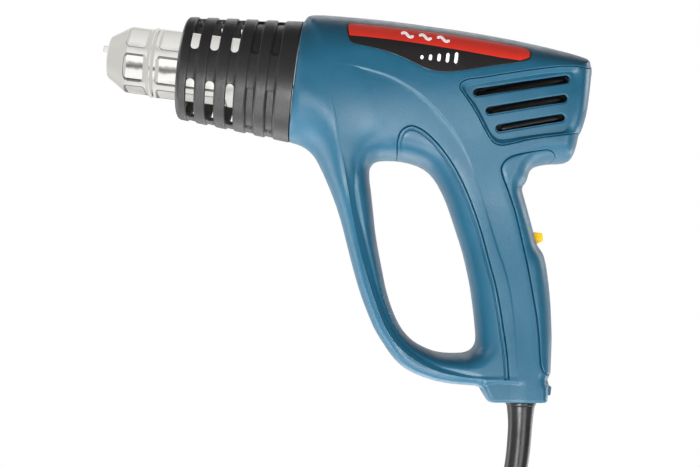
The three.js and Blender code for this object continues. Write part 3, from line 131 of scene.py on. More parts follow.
# ---------------------------------------------------------------- surface stations: x, z, value
HALF_WIDTH = [
    (-149, 0, 31.5), (-149, 26, 31.5), (-149, -26, 30.5), (-128, 4, 33.4), (-128, 26, 31.8),
    (-128, -22, 30.2), (-95, 7, 34.4), (-95, 28, 32.4), (-95, -20, 29.2), (-62, 10, 34.2),
    (-60, 28, 32.2), (-62, -18, 28.6), (-28, 10, 33.4), (-28, 26, 32.0), (-28, -16, 29.0),
    (-4, 10, 31), (-4, -10, 30), (-55, -38, 24.5), (-46, -50, 21), (-38, -68, 19),
    (-30, -90, 18.5), (-23, -112, 18.5), (-18, -132, 19.5), (-16, -148, 20), (-36, -138, 18),
    (-58, -137, 15.5), (-80, -130, 14.5), (-94, -108, 14.5), (-104, -84, 15.5), (-112, -64, 18),
    (-122, -44, 23.5), (-138, -30, 29)]
ROUNDING = [
    (-149, 0, 31.5), (-149, 28, 31.5), (-149, -28, 31.5), (-125, 30, 24), (-95, 30, 20),
    (-60, 30, 18), (-25, 28, 15), (-3, 10, 8), (-5, -12, 9), (-15, -24, 9), (-26, -38, 10),
    (-60, -36, 12), (-92, -32, 11), (-118, -30, 15), (-126, -48, 11), (-112, -66, 8),
    (-100, -92, 6.5), (-86, -118, 6), (-60, -138, 6.5), (-40, -135, 8), (-46, -70, 12),
    (-20, -66, 10), (-34, -92, 13), (-10, -92, 12), (-6, -120, 11), (-33, -118, 12),
    (-20, -100, 13), (-4, -145, 4.5), (-5, -137, 6.5), (-31, -148, 4), (-18, -146, 7)]
FIELD_STEP = [
    (-137, 9, 0), (-134, 3, 0), (-130.5, -8, 0.0), (-127.5, -15, 0.35), (-123.5, -27, 1.3),
    (-119, -41, 2.3), (-115, -54, 2.6), (-112, -63, 2.6), (-104, -86, 2.4), (-94, -108, 2.1),
    (-85, -122, 1.8), (-70, -134, 1.5), (-58, -138, 1.3), (-30, -138, 0.3), (-18, -136, 0.05),
    (-119, 8, 0.4), (-101, 5, 0.6), (-77, -8, 0.65), (-58, -29, 0.15), (-43, -58, -0.35),
    (-27, -92, -0.4), (-20, -121, -0.3), (-118, -12, 0.15), (-108, -18, 0.35), (-106, -26, 1.2),
    (-111, -36, 2.0), (-97, -30, 1.0), (-84, -24, 0.7), (-70, -30, 0.45), (-48, -90, -0.35)]
# (z, x) beyond which the field is at full depth
FIELD_MIDDLE = [(-128, -48), (-110, -58), (-80, -72), (-50, -84), (-36, -92), (-20, -104), (9, -120)]
# (z, height) of the rise left of the valley
VALLEY_LIFT = [
    (-139, 0.25), (-128, 0.45), (-100, 0.6), (-60, 0.7), (-36, 0.75), (-28, 0.55), (-22, 0.0)]
RIDGE_BEAD = [(-136, 0.0), (-125, 0.13), (-20, 0.13), (-6, 0.0)]  # (z, height)
# (x, z) of the top of the set-back foot
FOOT_TOP = [(-41, -147.5), (-37, -143.0), (-33, -140.0), (-28, -138.9), (-17, -138.2)]

# ---------------------------------------------------------------- body sizes
STEP = 1.3           # point spacing along the outline
EDGE_POWER = 2.2     # superellipse power of the rounded sides
WALL = 2.3
SEAM_HALF = 0.12     # half width of a parting gap
CAP_SINK = 1.9
GROOVE_SIDE = -1.9   # groove beside the palm seam: offset and half width
GROOVE_HALF = 0.52
SLOT_R = 2.05
SCREW_R, SCREW_FLOOR_R, SCREW_DEPTH_Y = 3.5, 3.42, 5.5
FRAME_INSET = 0.85   # black border of the label


# ---------------------------------------------------------------- lines and fields
def through(points, samples, closed=False):
    """Dense centripetal Catmull-Rom curve through the points."""
    pts = np.array(points, float)
    if closed:
        pts = np.vstack([pts[-1], pts, pts[0], pts[1]])
    else:
        pts = np.vstack([2 * pts[0] - pts[1], pts, 2 * pts[-1] - pts[-2]])
    out = []
    t = np.linspace(0, 1, samples, endpoint=False)[:, None]
    for i in range(1, len(pts) - 2):
        p0, p1, p2, p3 = pts[i - 1:i + 3]
        d1, d2, d3 = (max(np.linalg.norm(b - a), 1e-6) ** 0.5
                      for a, b in ((p0, p1), (p1, p2), (p2, p3)))
        m1 = ((p1 - p0) / d1 - (p2 - p0) / (d1 + d2) + (p2 - p1) / d2) * d2
        m2 = ((p2 - p1) / d2 - (p3 - p1) / (d2 + d3) + (p3 - p2) / d3) * d2
        out.append((2 * t**3 - 3 * t**2 + 1) * p1 + (t**3 - 2 * t**2 + t) * m1
                   + (-2 * t**3 + 3 * t**2) * p2 + (t**3 - t**2) * m2)
    return np.vstack(out + [pts[-2][None]])


def arc_length(line):
    return np.concatenate([[0], np.cumsum(np.linalg.norm(np.diff(line, axis=0), axis=1))])


def evenly(line, count):
    arc = arc_length(line)
    at = np.linspace(0, arc[-1], count)
    return np.stack([np.interp(at, arc, line[:, k]) for k in range(line.shape[1])], 1)


def resample(line, step, closed=False):
    line = np.asarray(line, float)
    out = evenly(line, max(2, int(round(arc_length(line)[-1] / step))) + 1)
    return out[:-1] if closed else out


def spline(points, step, closed=False):
    return resample(through(points, 16, closed), step, closed)


def thin_plate(stations):
    """Smooth field over (x, z) through the stations' values."""
    stations = np.array(stations, float)
    sites, values, count = stations[:, :2] / 50, stations[:, 2], len(stations)

    def kernel(points):
        d = np.linalg.norm(points[:, None] - sites[None], axis=2)
        return np.where(d > 0, d**2 * np.log(np.maximum(d, 1e-9)), 0)

    plane = np.hstack([np.ones((count, 1)), sites])
    stiffened = kernel(sites) + np.eye(count) * 2e-3
    system = np.block([[stiffened, plane], [plane.T, np.zeros((3, 3))]])
    weights = np.linalg.solve(system, np.concatenate([values, np.zeros(3)]))

    def field(points):
        scaled = np.asarray(points, float) / 50
        out = np.empty(len(scaled))
        for i in range(0, len(scaled), 20000):
            part = scaled[i:i + 20000]
            out[i:i + 20000] = (kernel(part) @ weights[:count] + weights[count]
                                + part @ weights[count + 1:])
        return out
    return field


def track(points, line):
    """Distance to a polyline, side of it (left of travel positive) and arc length along it."""
    start = line[:-1]
    run = line[1:] - start
    run2 = np.maximum((run**2).sum(1), 1e-12)
    run_length = np.sqrt(run2)
    before = np.concatenate([[0], np.cumsum(run_length)])[:-1]
    dist, side, arc = np.empty(len(points)), np.empty(len(points)), np.empty(len(points))
    for i in range(0, len(points), 4000):
        offset = points[i:i + 4000][:, None] - start[None]
        t = np.clip((offset * run).sum(2) / run2, 0, 1)
        miss = offset - t[..., None] * run
        dist2 = (miss**2).sum(2)
        j = dist2.argmin(1)
        row = np.arange(len(j))
        cross = run[j, 0] * offset[row, j, 1] - run[j, 1] * offset[row, j, 0]
        dist[i:i + 4000] = np.sqrt(dist2[row, j])
        side[i:i + 4000] = np.where(cross >= 0, 1.0, -1.0)
        arc[i:i + 4000] = before[j] + t[row, j] * run_length[j]
    return dist, side, arc


def distance(points, line):
    return track(points, line)[0]


def nearest_of(points, lines):
    return np.min([distance(points, line) for line in lines], axis=0)


def inside(points, polygon):
    x, z = points[:, 0], points[:, 1]
    hit = np.zeros(len(points), bool)
    for (x1, z1), (x2, z2) in zip(polygon, np.roll(polygon, -1, 0)):
        if z1 == z2:
            continue
        spans = (z1 > z) != (z2 > z)
        hit ^= spans & (x < (x2 - x1) * (z - z1) / (z2 - z1) + x1)
    return hit


def closed(line):
    return np.vstack([line, line[:1]])


def left_normals(line, loop=False):
    if loop:
        tangent = np.roll(line, -1, 0) - np.roll(line, 1, 0)
    else:
        tangent = np.gradient(line, axis=0)
    tangent /= np.maximum(np.linalg.norm(tangent, axis=1, keepdims=True), 1e-9)
    return np.stack([-tangent[:, 1], tangent[:, 0]], 1)


def shifted(line, offset, loop=False):
    """Polyline moved to its left."""
    return line + offset * left_normals(line, loop)


def smooth(t):
    t = np.clip(t, 0, 1)
    return t * t * (3 - 2 * t)


def superarc(t, power):
    t = np.clip(t, 0, 1)
    return (1 - (1 - t) ** power) ** (1 / power)


def lookup(value, stations):
    return np.interp(value, *np.array(stations, float).T)


def signed_power(value, power):
    return math.copysign(abs(value) ** power, value)


# ---------------------------------------------------------------- the gun's side surface
rear_edge, bow_edge = spline(EDGE_REAR, STEP), spline(EDGE_BOW, STEP)
loop_edge = spline(LOOP, STEP, True)
base_edge = resample([rear_edge[-1], bow_edge[0]], STEP)
front_edge = resample([bow_edge[-1], rear_edge[0]], STEP)
outline = np.vstack([rear_edge, base_edge[1:-1], bow_edge, front_edge[1:-1]])
foot_side = resample(EDGE_BOW[:FOOT_SIDE + 1], 0.8)
soft_edges = [spline(EDGE_REAR, 0.8), spline(EDGE_BOW[FOOT_SIDE:], 0.8),
              closed(spline(LOOP, 0.8, True))]
half_width, rounding, field_step = map(thin_plate, (HALF_WIDTH, ROUNDING, FIELD_STEP))
crease, ridge, valley = (spline(line, 0.9) for line in (CREASE, RIDGE, VALLEY))
field_edge = np.vstack([crease, ridge[1:-1]])
seams = cap_seam, rear_seam, palm_seam = [
    spline(line, 1.1) for line in (CAP_SEAM, REAR_SEAM, PALM_SEAM)]
palm_close = spline(PALM_CLOSE, 1.2)
cap_region = np.vstack([cap_seam, [[8, -9], [8, 24.3]]])
rear_region = np.vstack([rear_seam, [[8, -134], [8, -60], [-8, -33]]])
palm_region = np.vstack([palm_seam, palm_close[1:], [[-60, -80], [-75, -50], [-88, -42]]])
cap_floor = spline(CAP_FLOOR, 1.1, True)
label_line = spline(LABEL, 1.0, True)


def body_mask(points):
    return inside(points, outline) & ~inside(points, loop_edge)


def edge_distance(points):
    return nearest_of(points, (closed(outline), closed(loop_edge)))


def plain_height(points):
    """Half width of the moulded body without its detail, and distance to the soft edges."""
    dist = nearest_of(points, soft_edges)
    radius = np.maximum(2.2, rounding(points))
    # the sides draw in by 1.6 over the first 4.5 behind the front
    nose = np.clip(1 - (points[:, 0] - FRONT_X) / 4.5, 0, 1)
    height = half_width(points) - 1.6 * (1 - np.sqrt(1 - nose**2))
    height = height * superarc(dist / radius, EDGE_POWER)
    height = (height * superarc(distance(points, base_edge) / 1.8, 4.0)
              * superarc(distance(points, foot_side) / 2.2, 3.0))
    return height, dist


def lip(dist, width, depth):
    """Rounded edge beside a parting gap: full depth at the gap, none past width."""
    t = np.clip((width - dist) / (width - SEAM_HALF), 0, 1)
    return depth * (1 - np.sqrt(1 - t**2))


def field_depth(points, ridge_dist):
    """Soft step inside the D-shaped field, with the valley along the bow."""
    x, z = points.T
    crease_dist = distance(points, crease)
    valley_dist, valley_side, valley_arc = track(points, valley)
    past_start = valley_arc > 0.5
    rolled = (valley_side > 0) & past_start
    amount = np.clip(field_step(points), -0.45, 2.8)
    # share of the step: a ramp from ridge to valley, full beyond it
    ratio = ridge_dist / np.maximum(ridge_dist + valley_dist, 1e-6)
    ramp = np.where(past_start, np.clip(ratio, 0, 1), np.clip(ridge_dist / 12, 0, 1))
    share = np.where(rolled, 1.0, ramp)
    share = np.maximum(
        share, smooth((x - lookup(z, FIELD_MIDDLE) + 4) / 8) * smooth((z + 130) / 6))
    # a short ramp of 1.3 near the foot, and 1.1 along the crease
    foot = smooth((x + 52) / 8) * smooth((-122 - z) / 4)
    share = share + (np.clip(ridge_dist / 1.3, 0, 1) - share) * foot
    share = np.minimum(share, np.where(crease_dist < ridge_dist, smooth(crease_dist / 1.1), 1.0))
    # the rise beside the valley starts over 1.5, fades out by 20 and ends before the grip
    rise = np.where(rolled, lookup(z, VALLEY_LIFT) * smooth(valley_dist / 1.5), 0)
    rise = rise * smooth((20 - valley_dist) / 6) * smooth((-34 - x) / 8)
    return np.where(inside(points, field_edge), amount * share - rise, 0)


def cap_depth(points):
    """Sunk field of the intake cap: sloped walls, and a step up to the rear rim."""
    seam_dist = distance(points, cap_seam)
    floor_dist = distance(points, closed(cap_floor))
    slope = np.clip((seam_dist - 0.45) / np.maximum(seam_dist - 0.45 + floor_dist, 1e-6), 0, 1)
    rear_slope = np.minimum(slope, np.clip(1 - floor_dist / 3.6, 0, 1))
    ramp = np.where(inside(points, cap_floor), 1.0,
                    np.where(points[:, 0] > -11.7, rear_slope, slope))
    return np.where(inside(points, cap_region), CAP_SINK * ramp, 0)


def label_depth(points):
    """Pocket 0.45 deep under the label, with a softened outer edge."""
    dist = distance(points, closed(label_line))
    return np.where(inside(points, label_line), 0.45 * np.clip(dist / 0.15, 0, 1),
                    0.12 * np.clip(1 - dist / 0.35, 0, 1))


def detail_depth(points):
    """Depth of all moulded-in detail below the plain surface."""
    x, z = points.T
    ridge_dist = distance(points, ridge)
    out = field_depth(points, ridge_dist)
    # the foot sits back 0.9 from the bow's lower band
    out += 0.9 * smooth((lookup(x, FOOT_TOP) - z) / 1.3) * smooth((-13 - x) / 9)
    bead = lookup(z, RIDGE_BEAD) * (x < -60)
    out -= bead * np.clip(1 - (ridge_dist / 0.5) ** 2, 0, 1)
    groove_dist, _, groove_arc = track(points, shifted(palm_seam, GROOVE_SIDE))
    groove = 0.75 * np.sqrt(np.clip(1 - (groove_dist / GROOVE_HALF) ** 2, 0, 1))
    out += groove * (groove_arc > 4)
    for seam, width, depth in ((cap_seam, 0.65, 0.45), (rear_seam, 1.05, 0.85),
                               (palm_seam, 0.72, 0.7)):
        out += lip(distance(points, seam), width, depth)
    out += cap_depth(points)
    for x0, z0, x1, z1 in SLOTS:
        dist = distance(points, np.array([[x0, z0], [x1, z1]], float)) - SLOT_R
        out += lip(np.maximum(dist, 0.0) + SEAM_HALF, width=0.75, depth=0.42)
    return out + label_depth(points)


# ---------------------------------------------------------------- triangulated sheets
def cdt(points, edges):
    result = delaunay_2d_cdt([Vector(q) for q in points], edges, [], 0, 1e-5)
    return np.array([(v.x, v.y) for v in result[0]]), [tuple(f) for f in result[2]]


def build_domain(loops, lines, loose, pitch, keep):
    """Triangulate closed loops and open lines, then loose (gap, points) groups and a grid."""
    points, edges, taken = [], [], {}
    cell = 0.4

    def cell_of(q):
        return math.floor(q[0] / cell), math.floor(q[1] / cell)

    def crowded(q, gap):
        column, row = cell_of(q)
        reach = int(math.ceil(gap / cell))
        for i in range(column - reach, column + reach + 1):
            for j in range(row - reach, row + reach + 1):
                for k in taken.get((i, j), ()):
                    if (points[k][0] - q[0]) ** 2 + (points[k][1] - q[1]) ** 2 < gap * gap:
                        return True
        return False

    def put(q):
        points.append((float(q[0]), float(q[1])))
        taken.setdefault(cell_of(q), []).append(len(points) - 1)
        return len(points) - 1

    for is_loop, group in ((True, loops), (False, lines)):
        for line in group:
            ids = [put(q) for q in line]
            edges += zip(ids, ids[1:])
            if is_loop:
                edges.append((ids[-1], ids[0]))
    for gap, group in loose:
        for q in group:
            if not crowded(q, gap):
                put(q)
    low, high = np.min(points, axis=0), np.max(points, axis=0)
    grid = np.array([(x + (pitch / 2 if j % 2 else 0), z)
                     for j, z in enumerate(np.arange(low[1], high[1], pitch * 0.87))
                     for x in np.arange(low[0], high[0], pitch)])
    for q in grid[keep(grid)]:
        if not crowded(q, pitch * 0.5):
            put(q)
    return cdt(points, edges)


def fan(faces, points):
    """Triangles of the faces, all turned the same way and without slivers."""
    tri = np.array([(f[0], f[k], f[k + 1]) for f in faces for k in range(1, len(f) - 1)])
    a, b, c = points[tri[:, 0]], points[tri[:, 1]], points[tri[:, 2]]
    cross = (b[:, 0] - a[:, 0]) * (c[:, 1] - a[:, 1]) - (b[:, 1] - a[:, 1]) * (c[:, 0] - a[:, 0])
    tri[cross < 0] = tri[cross < 0][:, ::-1]
    return tri[np.abs(cross) > 1e-9]


def vertex_normals(points, faces):
    a, b, c = (points[faces[:, k]] for k in range(3))
    face_normals = np.cross(b - a, c - a)
    out = np.zeros_like(points)
    for k in range(3):
        np.add.at(out, faces[:, k], face_normals)
    return out / np.maximum(np.linalg.norm(out, axis=1, keepdims=True), 1e-12)


def weld(points, faces, tolerance=1e-3):
    """Index of the first of each group of coincident points, and the faces between groups."""
    key = np.round(points / tolerance).astype(np.int64)
    _, first, inverse = np.unique(key, axis=0, return_index=True, return_inverse=True)
    out = inverse.reshape(-1)[faces]
    whole = (out[:, 0] != out[:, 1]) & (out[:, 1] != out[:, 2]) & (out[:, 0] != out[:, 2])
    return first, out[whole]


def closed_faces(faces, count):
    """Faces of a sheet, its copy count vertices later, and the rims between them."""
    edges = np.vstack([faces[:, [0, 1]], faces[:, [1, 2]], faces[:, [2, 0]]]).tolist()
    have = set(map(tuple, edges))
    rim = []
    for a, b in edges:
        if (b, a) not in have:
            rim += [(b, a, a + count), (b, a + count, b + count)]
    return np.vstack([faces, faces[:, ::-1] + count, np.array(rim, int).reshape(-1, 3)])


# ---------------------------------------------------------------- mesh objects
def finish_shading(mesh, sharp):
    """Smooth faces, with edges sharper than the angle in degrees marked sharp."""
    face_count, edge_count = len(mesh.polygons), len(mesh.edges)
    mesh.polygons.foreach_set("use_smooth", np.ones(face_count, bool))
    normals = np.zeros(face_count * 3)
    mesh.polygons.foreach_get("normal", normals)
    normals = normals.reshape(-1, 3)
    corners = np.zeros(face_count, int)
    mesh.polygons.foreach_get("loop_total", corners)
    loop_edges = np.zeros(len(mesh.loops), int)
    mesh.loops.foreach_get("edge_index", loop_edges)
    order = np.argsort(loop_edges, kind="stable")
    edge_faces = np.repeat(np.arange(face_count), corners)[order]
    uses = np.bincount(loop_edges[order], minlength=edge_count)
    paired = uses == 2
    first = np.concatenate([[0], np.cumsum(uses)[:-1]])[paired]
    cosine = np.ones(edge_count)
    cosine[paired] = (normals[edge_faces[first]] * normals[edge_faces[first + 1]]).sum(1)
    mark = (cosine < math.cos(math.radians(sharp))) | (uses > 2)
    attr = (mesh.attributes.get("sharp_edge")
            or mesh.attributes.new("sharp_edge", "BOOLEAN", "EDGE"))
    attr.data.foreach_set("value", mark)


def face_outward(mesh):
    volume = 0.0
    points = np.array([v.co for v in mesh.vertices])
    for face in mesh.polygons:
        ids = face.vertices
        for i in range(1, len(ids) - 1):
            volume += np.dot(points[ids[0]], np.cross(points[ids[i]], points[ids[i + 1]]))
    if volume < 0:
        mesh.flip_normals()


def mesh_object(name, points, faces, material, sharp=40, orient=True):
    mesh = bpy.data.meshes.new(name)
    mesh.from_pydata([tuple(q * MM) for q in points], [], [tuple(int(i) for i in f) for f in faces])
    mesh.validate()
    mesh.update()
    if orient:
        face_outward(mesh)
    ob = bpy.data.objects.new(name, mesh)
    bpy.context.scene.collection.objects.link(ob)
    mesh.materials.append(material)
    finish_shading(mesh, sharp)
    return ob


def place(ob, node=None, parent="gun"):
    if node:
        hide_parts(node)
    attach(ob, parent)


def apply_modifiers(ob, sharp):
    depsgraph = bpy.context.evaluated_depsgraph_get()
    mesh = bpy.data.meshes.new_from_object(ob.evaluated_get(depsgraph), depsgraph=depsgraph)
    old = ob.data
    ob.modifiers.clear()
    ob.data = mesh
    bpy.data.meshes.remove(old)
    finish_shading(mesh, sharp)


def cut(ob, cutter):
    modifier = ob.modifiers.new("cut", "BOOLEAN")
    modifier.operation = "DIFFERENCE"
    modifier.solver = "EXACT"
    modifier.object = cutter
    apply_modifiers(ob, sharp=38)
    cutter_mesh = cutter.data
    bpy.data.objects.remove(cutter)
    bpy.data.meshes.remove(cutter_mesh)


def crisp_ridge(mesh, skin):
    """Mark the ridge sharp along the bow."""
    on_ridge = np.zeros(len(mesh.vertices), bool)
    on_ridge[:len(skin)] = ((distance(skin[:, [0, 2]], ridge) < 0.03)
                            & (skin[:, 0] < -62) & (skin[:, 2] < -14))
    ends = np.zeros(len(mesh.edges) * 2, int)
    mesh.edges.foreach_get("vertices", ends)
    ends = ends.reshape(-1, 2)
    mark = np.zeros(len(mesh.edges), bool)
    data = mesh.attributes["sharp_edge"].data
    data.foreach_get("value", mark)
    data.foreach_set("value", mark | (on_ridge[ends[:, 0]] & on_ridge[ends[:, 1]]))


def shell_mesh(name, outer, plain, faces, wall, material, body=False):
    """Closed solid: outer sheet, inner sheet wall deep along the plain normals, and rims."""
    first, faces = weld(outer, faces)
    skin, plain = outer[first], plain[first]
    normals = vertex_normals(plain, faces)
    inner = plain - wall * normals
    if body:
        # inner points that would leave the body go halfway to the parting plane instead
        sign = np.where(skin[:, 1] < 0, -1.0, 1.0)
        flat = inner[:, [0, 2]]
        stray = (~body_mask(flat) | (np.abs(inner[:, 1]) > plain_height(flat)[0] - 0.5)
                 | (inner[:, 1] * sign < 0) | (normals[:, 1] * sign < -0.02)
                 | (edge_distance(flat) < 0.5))
        inner[stray] = (skin * np.array([1, 0.5, 1]))[stray]
    ob = mesh_object(name, np.vstack([skin, inner]), closed_faces(faces, len(skin)), material,
                     sharp=58 if body else 38, orient=False)
    if body:
        crisp_ridge(ob.data, skin)
    return ob


def loft_faces(rows, columns):
    """Quads round a stack of closed rings, with both ends capped."""
    faces = [(i * columns + j, i * columns + (j + 1) % columns,
              (i + 1) * columns + (j + 1) % columns, (i + 1) * columns + j)
             for i in range(rows - 1) for j in range(columns)]
    ring = range(columns)
    return faces + [tuple(ring)[::-1], tuple((rows - 1) * columns + j for j in ring)]


def turns(count):
    return [2 * math.pi * j / count for j in range(count)]


# ---------------------------------------------------------------- shader helpers
def add(tree, kind):
    return tree.nodes.new("ShaderNode" + kind)


def feed(tree, socket, value):
    """Link a socket, or set a number or an RGB colour."""
    if hasattr(value, "node"):
        tree.links.new(value, socket)
    else:
        socket.default_value = (*value, 1) if isinstance(value, tuple) else value


def new_material(name):
    material = bpy.data.materials.new(name)
    material.use_nodes = True
    tree = material.node_tree
    tree.nodes.clear()
    output = add(tree, "OutputMaterial")
    bsdf = add(tree, "BsdfPrincipled")
    tree.links.new(bsdf.outputs[0], output.inputs[0])
    return material, tree, bsdf, output


def coordinates(tree):
    node = tree.nodes.get("TC") or add(tree, "TexCoord")
    node.name = "TC"
    return node.outputs


def noise(tree, scale, detail, rough=0.6):
    node = add(tree, "TexNoise")
    node.inputs["Scale"].default_value = scale
    node.inputs["Detail"].default_value = detail
    node.inputs["Roughness"].default_value = rough
    tree.links.new(coordinates(tree)["Object"], node.inputs["Vector"])
    return node.outputs["Fac"]


def map_range(tree, value, span, to=(0, 1)):
    node = add(tree, "MapRange")
    inputs = node.inputs
    tree.links.new(value, inputs["Value"])
    inputs["From Min"].default_value, inputs["From Max"].default_value = span
    inputs["To Min"].default_value, inputs["To Max"].default_value = to
    return node.outputs["Result"]


def mix(tree, factor, first, second):
    node = add(tree, "Mix")
    node.data_type = "RGBA"
    for index, value in ((0, factor), (6, first), (7, second)):
        feed(tree, node.inputs[index], value)
    return node.outputs[2]


def mix_shader(tree, factor, first, second, output):
    node = add(tree, "MixShader")
    for socket, value in zip(node.inputs, (factor, first, second)):
        feed(tree, socket, value)
    tree.links.new(node.outputs[0], output.inputs[0])


def math_node(tree, operation, *values):
    node = add(tree, "Math")
    node.operation = operation
    for socket, value in zip(node.inputs, values):
        feed(tree, socket, value)
    return node.outputs[0]


def split_xyz(tree, vector):
    node = add(tree, "SeparateXYZ")
    tree.links.new(vector, node.inputs[0])
    return node.outputs


def tone_ramp(tree, value, first, last, stops):
    """Colours over a value from -1 to 1; stops are (position 0 to 1, rgb)."""
    node = add(tree, "ValToRGB")
    tree.links.new(map_range(tree, value, span=(-1, 1)), node.inputs[0])
    elements = node.color_ramp.elements
    elements[0].color, elements[1].color = (*first, 1), (*last, 1)
    for position, tone in stops:
        elements.new(position).color = (*tone, 1)
    return node.outputs[0]


def bump(tree, bsdf, *layers):
    """Chain of bumps; layers are (height socket, distance in metres, strength)."""
    previous = None
    for height, depth, strength in layers:
        node = add(tree, "Bump")
        node.inputs["Distance"].default_value = depth
        node.inputs["Strength"].default_value = strength
        tree.links.new(height, node.inputs["Height"])
        if previous is not None:
            tree.links.new(previous, node.inputs["Normal"])
        previous = node.outputs[0]
    tree.links.new(previous, bsdf.inputs["Normal"])


# ---------------------------------------------------------------- materials
def moulded(name, color, rough, grain=0.00004, grain_scale=1500, edge_wear_and_highlight=0, glow=None):
    """Grained plastic, its convex edges lightened by a given amount, partly as wear and partly as a
    painted edge highlight; glow is (rgb, strength) of a painted glow.
    """
    material, tree, bsdf, _ = new_material(name)
    light = tuple(min(1, c * 1.18 + 0.01) for c in color)
    dark = tuple(c * 0.9 for c in color)
    cloud = map_range(tree, noise(tree, scale=55, detail=4), span=(0.35, 0.65))
    base = mix(tree, cloud, dark, color)
    fine = noise(tree, scale=grain_scale, detail=2, rough=0.5)
    base = mix(tree, map_range(tree, fine, span=(0.45, 0.7), to=(0, 0.25)), base, light)
    if edge_wear_and_highlight:
        # lighter convex edges: partly edge wear, partly a painted edge highlight
        pointiness = add(tree, "NewGeometry").outputs["Pointiness"]
        edges = map_range(tree, pointiness, span=(0.505, 0.56))
        base = mix(tree, map_range(tree, edges, span=(0, 1), to=(0, edge_wear_and_highlight)), base,
                   tuple(min(1, c * 1.5 + 0.05) for c in color))
    tree.links.new(base, bsdf.inputs["Base Color"])
    patches = map_range(tree, noise(tree, scale=180, detail=3), span=(0.3, 0.7),
                        to=(rough - 0.05, rough + 0.05))
    tree.links.new(patches, bsdf.inputs["Roughness"])
    bsdf.inputs["Coat Roughness"].default_value = 0.2
    # painted glow: emission that brightens the colour; the part is no lamp
    if glow:
        bsdf.inputs["Emission Color"].default_value = (*glow[0], 1)
        bsdf.inputs["Emission Strength"].default_value = glow[1]
    bump(tree, bsdf, (fine, grain, 0.5), (noise(tree, scale=900, detail=2), grain * 0.9, 0.35))
    return material


def metal_base(tree, bsdf, color, tint, rough, cloud_scale, cloud_high, rough_scale):
    """Cloudy metal colour and roughness; rough is its (low, high)."""
    cloud = map_range(tree, noise(tree, scale=cloud_scale, detail=3), span=(0.35, cloud_high))
    tree.links.new(mix(tree, cloud, color, tint), bsdf.inputs["Base Color"])
    bsdf.inputs["Metallic"].default_value = 1
    patches = map_range(tree, noise(tree, scale=rough_scale, detail=4), span=(0.3, 0.7), to=rough)
    tree.links.new(patches, bsdf.inputs["Roughness"])


def metal(name, color, rough, streak=0.3, grain=900, rough_spread=0.03, tint=None):
    material, tree, bsdf, _ = new_material(name)
    metal_base(tree, bsdf, color, tint or tuple(c * 0.93 for c in color),
               rough=(rough, rough + rough_spread), cloud_scale=40, cloud_high=0.7,
               rough_scale=260)
    bump(tree, bsdf, (noise(tree, scale=grain, detail=3), 0.00001, streak))
    return material


def chrome_with_painted_reflection(name, color, stops):
    """Polished metal with a painted reflection: a glow toned by the reflected direction and the
    height on the tube draws its bright surroundings and dark bands.

    stops are (position, brightness) from low to high surroundings.
    """
    material, tree, bsdf, output = new_material(name)
    coords = coordinates(tree)
    metal_base(tree, bsdf, color, tuple(c * 0.94 for c in color), rough=(0.34, 0.40),
               cloud_scale=60, cloud_high=0.7, rough_scale=300)
    bump(tree, bsdf, (noise(tree, scale=300, detail=3), 0.00001, 0.25))
    reflected = split_xyz(tree, coords["Reflection"])
    wobble = map_range(tree, noise(tree, scale=110, detail=2), span=(0.3, 0.7),
                       to=(-0.035, 0.035))
    position = split_xyz(tree, coords["Object"])
    # painted reflection bands: height on the tube (0.65 at 17 mm) weighs more than the reflected
    # direction (0.35)
    height = math_node(tree, "MULTIPLY_ADD", position["Z"], 0.65 / 0.017, wobble)
    level = math_node(tree, "MULTIPLY_ADD", reflected["Z"], 0.35, height)
    surroundings = tone_ramp(tree, level, first=(0.78, 0.76, 0.71), last=(0.62, 0.60, 0.55),
                             stops=[(at, (v, v * 0.985, v * 0.95)) for at, v in stops])
    # painted reflections towards either end fade to an even grey
    endwise = math_node(tree, "ABSOLUTE", reflected["X"])
    painted_reflection_tone = mix(tree, map_range(tree, endwise, span=(0.28, 0.5)), surroundings,
                (0.60, 0.59, 0.55))
    # the painted reflection glows, and makes up 96 % of the shader against 4 % metal
    reflection_glow = add(tree, "Emission")
    tree.links.new(painted_reflection_tone, reflection_glow.inputs[0])
    mix_shader(tree, 0.96, bsdf.outputs[0], reflection_glow.outputs[0], output)
    return material
